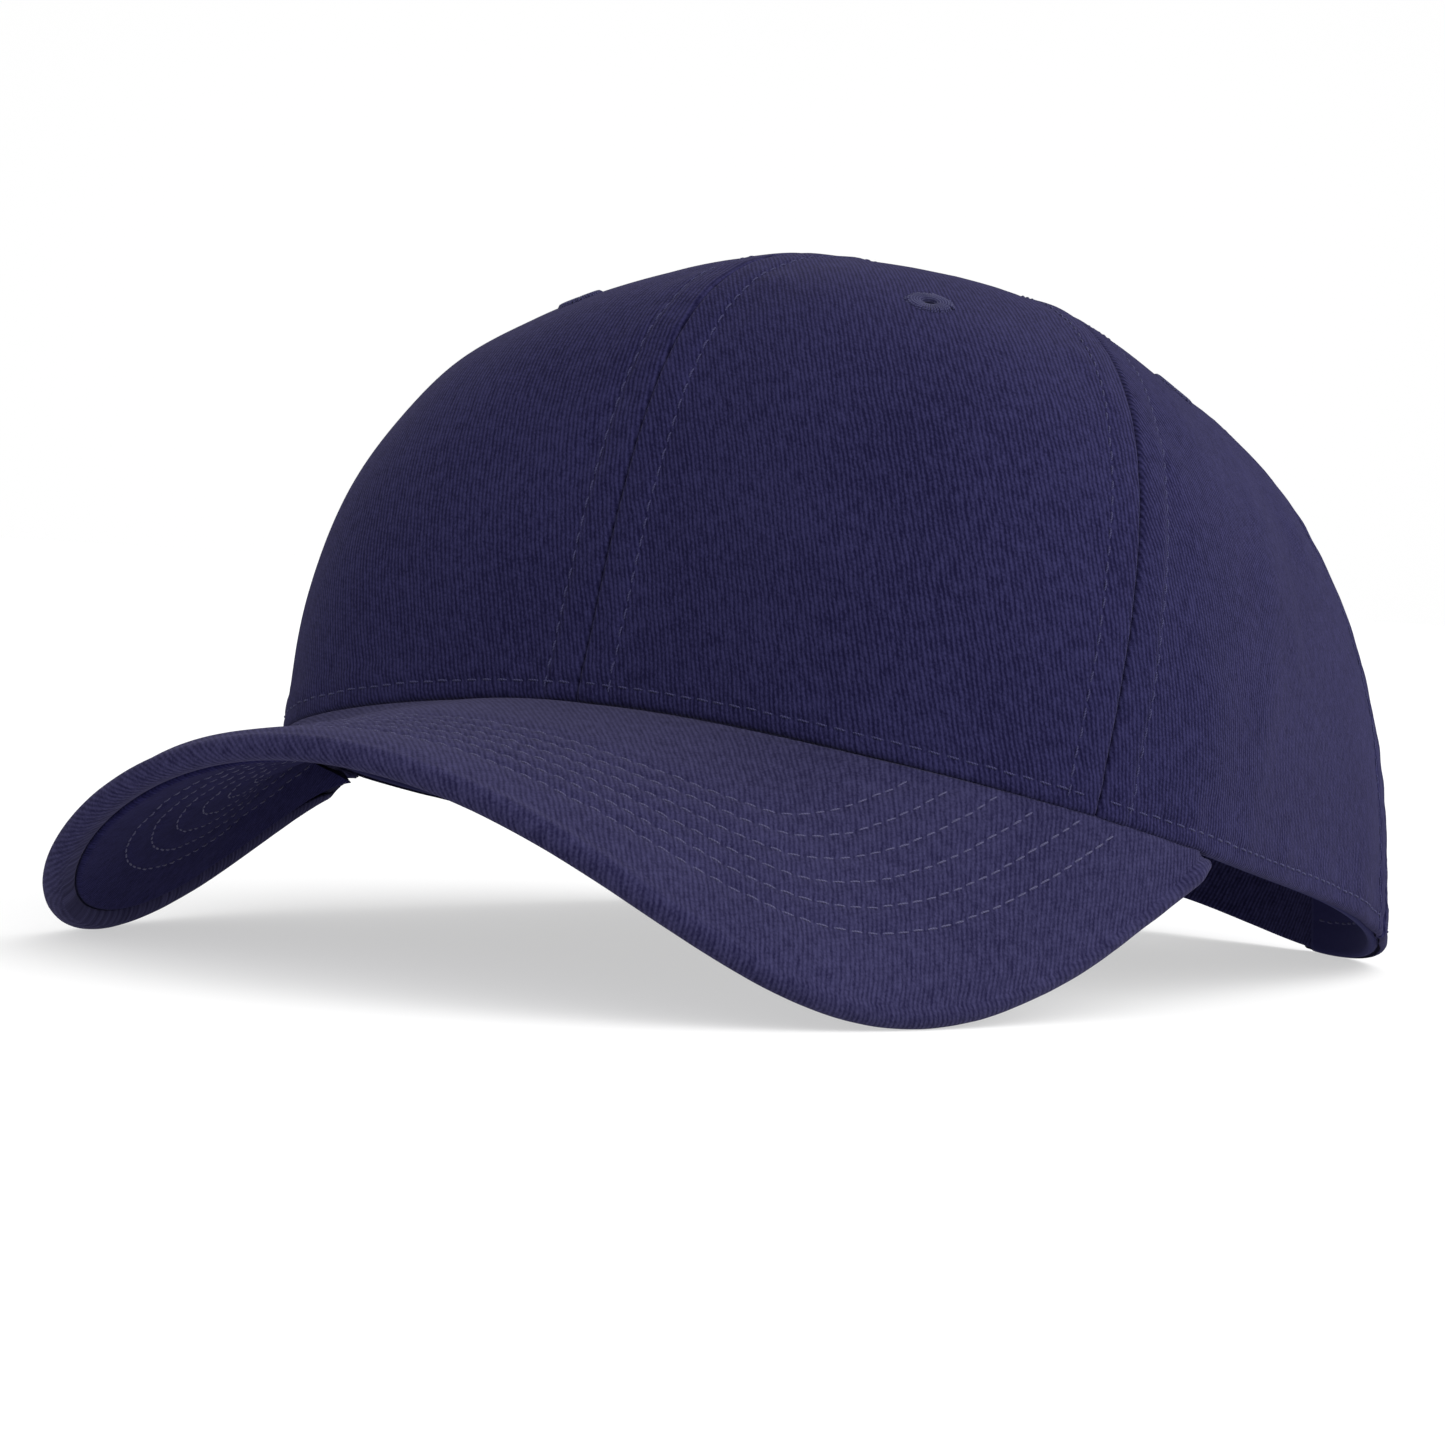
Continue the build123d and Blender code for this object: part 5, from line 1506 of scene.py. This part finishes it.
def straps():
    deg = np.radians
    F_EDGE = phi_at_x(ARCH_HALF)
    T1, T2 = Threads(), Threads()
    C, N, L, half, k, f = strip(phi_at_x(46.5), np.pi + deg(15), lambda f: 1.25 - 0.45 * np.clip((f - F_EDGE) / deg(8), 0, 1), 0.5, tip1=6.0)
    strap_cloth("inner_strap_cloth", C, N, L, half, k, 0.5, M_STRAP, "cap", "inner_strap_tab", 0, 6.0, T1, wave=0.0, seed=71)
    C, N, L, half, k, f = strip(np.pi - deg(13), np.pi + deg(13), lambda f: np.full(f.shape, -0.1), 0.8, tip0=4.0, tip1=4.0, grow=2.0, n=50)
    strap_cloth("loop_pile_patch", C, N, L, half, k, 0.8, M_LOOP, "cap", "loop_pad", 4.0, 4.0, None, wave=0.0, seed=72, row=-9)
    T1.make("inner_strap_thread", M_SEW, "cap")
    R_EDGE = 2 * np.pi - phi_at_x(ARCH_HALF - 1.2)

    def lift(f):
        q = np.clip((R_EDGE - f) / deg(10), 0, 1)
        return 0.9 - 3.3 * (3 * q ** 2 - 2 * q ** 3)

    C, N, L, half, k, f = strip(np.pi - deg(16), R_EDGE, lift, 0.9, tip0=6.0)
    strap_cloth("outer_strap_cloth", C, N, L, half, k, 0.9, M_STRAP, "strap_tab", "outer_strap_tab", 6.0, 0, T2, wave=0.06, seed=73)
    T2.make("outer_strap_thread", M_SEW, "strap_tab")
    # the sewn root of the outer tab, which stays under the panel
    C, N, L, half, k, f = strip(R_EDGE + 0.001, R_EDGE + deg(8), lambda f: 0.9 + 0.5 * np.clip((f - R_EDGE) / deg(1.2), 0, 1), 0.7, n=40)
    strap_cloth("outer_strap_root_cloth", C, N, L, half, k, 0.7, M_STRAP, "cap", None, 0, 0, None, wave=0.0, seed=75, row=-9)
    C, N, L, half, k, f = strip(np.pi - deg(12.5), np.pi + deg(12.5), lambda f: np.full(f.shape, -1.42), 0.97, tip0=4.0, tip1=4.0, grow=2.0, n=50)
    strap_cloth("hook_patch", C, N, L, half, k, 0.97, M_HOOK, "strap_tab", "hook_pad", 4.0, 4.0, None, wave=0.0, seed=74, row=-9)


straps()

# =====================================================================
# stage, light, camera
# =====================================================================
def pale_floor():
    """Matt white, lit a little from below as a light table is, so the shadow stays faint."""
    m, nt = tree("floor_white")
    N = N_(nt)
    out = N("ShaderNodeOutputMaterial")
    bs = N("ShaderNodeBsdfPrincipled", {"Base Color": (0.40, 0.40, 0.40, 1), "Roughness": 1.0})
    bs.inputs["Specular IOR Level"].default_value = 0.0
    bs.inputs["Emission Color"].default_value = (1.0, 1.0, 1.0, 1)
    bs.inputs["Emission Strength"].default_value = FLOOR_GLOW
    nt.links.new(bs.outputs[0], out.inputs[0])
    return m


FLOOR_GLOW = 0.54


def stage_and_light():
    # pale floor
    me = bpy.data.meshes.new("floor")
    R = 60.0
    me.from_pydata([(-R, -R, 0), (R, -R, 0), (R, R, 0), (-R, R, 0)], [], [(0, 1, 2, 3)])
    fl = bpy.data.objects.new("floor", me)
    bpy.context.scene.collection.objects.link(fl)
    me.materials.append(pale_floor())
    fl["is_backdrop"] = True
    # soft studio surround: white behind the cap, light from the camera's side and the right
    w = bpy.data.worlds.new("studio")
    bpy.context.scene.world = w
    w.use_nodes = True
    nt = w.node_tree
    nt.nodes.clear()
    N = N_(nt)
    out = N("ShaderNodeOutputWorld")
    tc = N("ShaderNodeTexCoord")
    total = 0.0
    for strength, direction, power in LOBES:
        d = N("ShaderNodeVectorMath", {0: tc.outputs["Generated"], 1: direction}, operation="DOT_PRODUCT")
        p = N.math("POWER", N.math("MAXIMUM", d.outputs["Value"], 0.0), power)
        total = N.math("ADD", N.math("MULTIPLY", p, strength), total)
    bg = N("ShaderNodeBackground", {1: total})
    bg.inputs[0].default_value = (1.0, 1.0, 1.0, 1)
    nt.links.new(bg.outputs[0], out.inputs[0])


LOBES = [
    (0.03, (0.0, 0.0, 1.0), 1.0),
    (2.25, (0.54, -0.84, 0.0), 1.5),
    (0.30, (0.84, 0.54, 0.0), 1.5),
    (0.36, (-0.84, -0.54, 0.0), 1.5),
    (0.99, (-0.54, 0.84, 0.0), 2.0),
    (3.30, (0.6, 0.386, 0.7), 4.0),
    (0.06, (-0.382, 0.594, 0.707), 4.0),
    (0.25, (0.25, -0.39, 0.886), 3.0),
]
stage_and_light()


def camera():
    import mathutils
    cam = bpy.data.cameras.new("camera")
    cam.sensor_width = 36.0
    cam.sensor_fit = "HORIZONTAL"
    cam.lens = 4343.21 / 1445 * 36.0
    cam.clip_end = 400.0
    co = bpy.data.objects.new("camera", cam)
    bpy.context.scene.collection.objects.link(co)
    right = np.array([0.83861739, 0.54138834, 0.06016259])
    up = np.array([-0.06843227, -0.00486222, 0.99764392])
    back = np.array([0.5404053, -0.8407586, 0.0329709])
    co.location = (0.389918, -0.625372, 0.063332)
    co.rotation_euler = mathutils.Matrix([list(r) for r in np.stack([right, up, back], 1)]).to_euler()
    bpy.context.scene.camera = co


camera()
bpy.context.scene.view_settings.view_transform = "Standard"


def dress(node, mat):
    o = bpy.data.objects.get(node)
    if o is None or o.type != "MESH":
        return
    if not o.material_slots:
        o.data.materials.append(mat)
    for s in o.material_slots:
        s.material = mat


for _node, _mat in (
    ("visor_board", M_BOARD),
    ("button_core", M_NYLON),
    ("button_rivet", M_RIVET),
    ("sweatband_stiffener", M_FELT),
):
    dress(_node, _mat)

# flat cuts in metres and square metres
CUTS = (
    ("front_left_panel_cloth", (0.106, 0.140), 0.010185),
    ("front_right_panel_cloth", (0.106, 0.140), 0.010185),
    ("side_left_panel_cloth", (0.110, 0.155), 0.011514),
    ("side_right_panel_cloth", (0.110, 0.155), 0.011514),
    ("back_left_panel_cloth", (0.090, 0.140), 0.007429),
    ("back_right_panel_cloth", (0.090, 0.140), 0.007429),
    ("visor_top_cloth", (0.200, 0.130), 0.015675),
    ("visor_under_cloth", (0.190, 0.110), 0.011548),
    ("sweatband_cloth", (0.036, 0.475), None),
    ("inner_strap_cloth", (0.024, 0.066), None),
    ("outer_strap_cloth", (0.024, 0.062), None),
    ("outer_strap_root_cloth", (0.024, 0.012), None),
)
for _name, _flat, _area in CUTS:
    _o = bpy.data.objects.get(_name)


def plain_numbers(v):
    if hasattr(v, "tolist"):
        return plain_numbers(v.tolist())
    if isinstance(v, dict):
        return {str(k): plain_numbers(x) for k, x in v.items()}
    if hasattr(v, "__len__") and not isinstance(v, str):
        return [plain_numbers(x) for x in v]
    return float(v)


{"cad": plain_numbers(CAD_BOX), "visual": plain_numbers(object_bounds())}
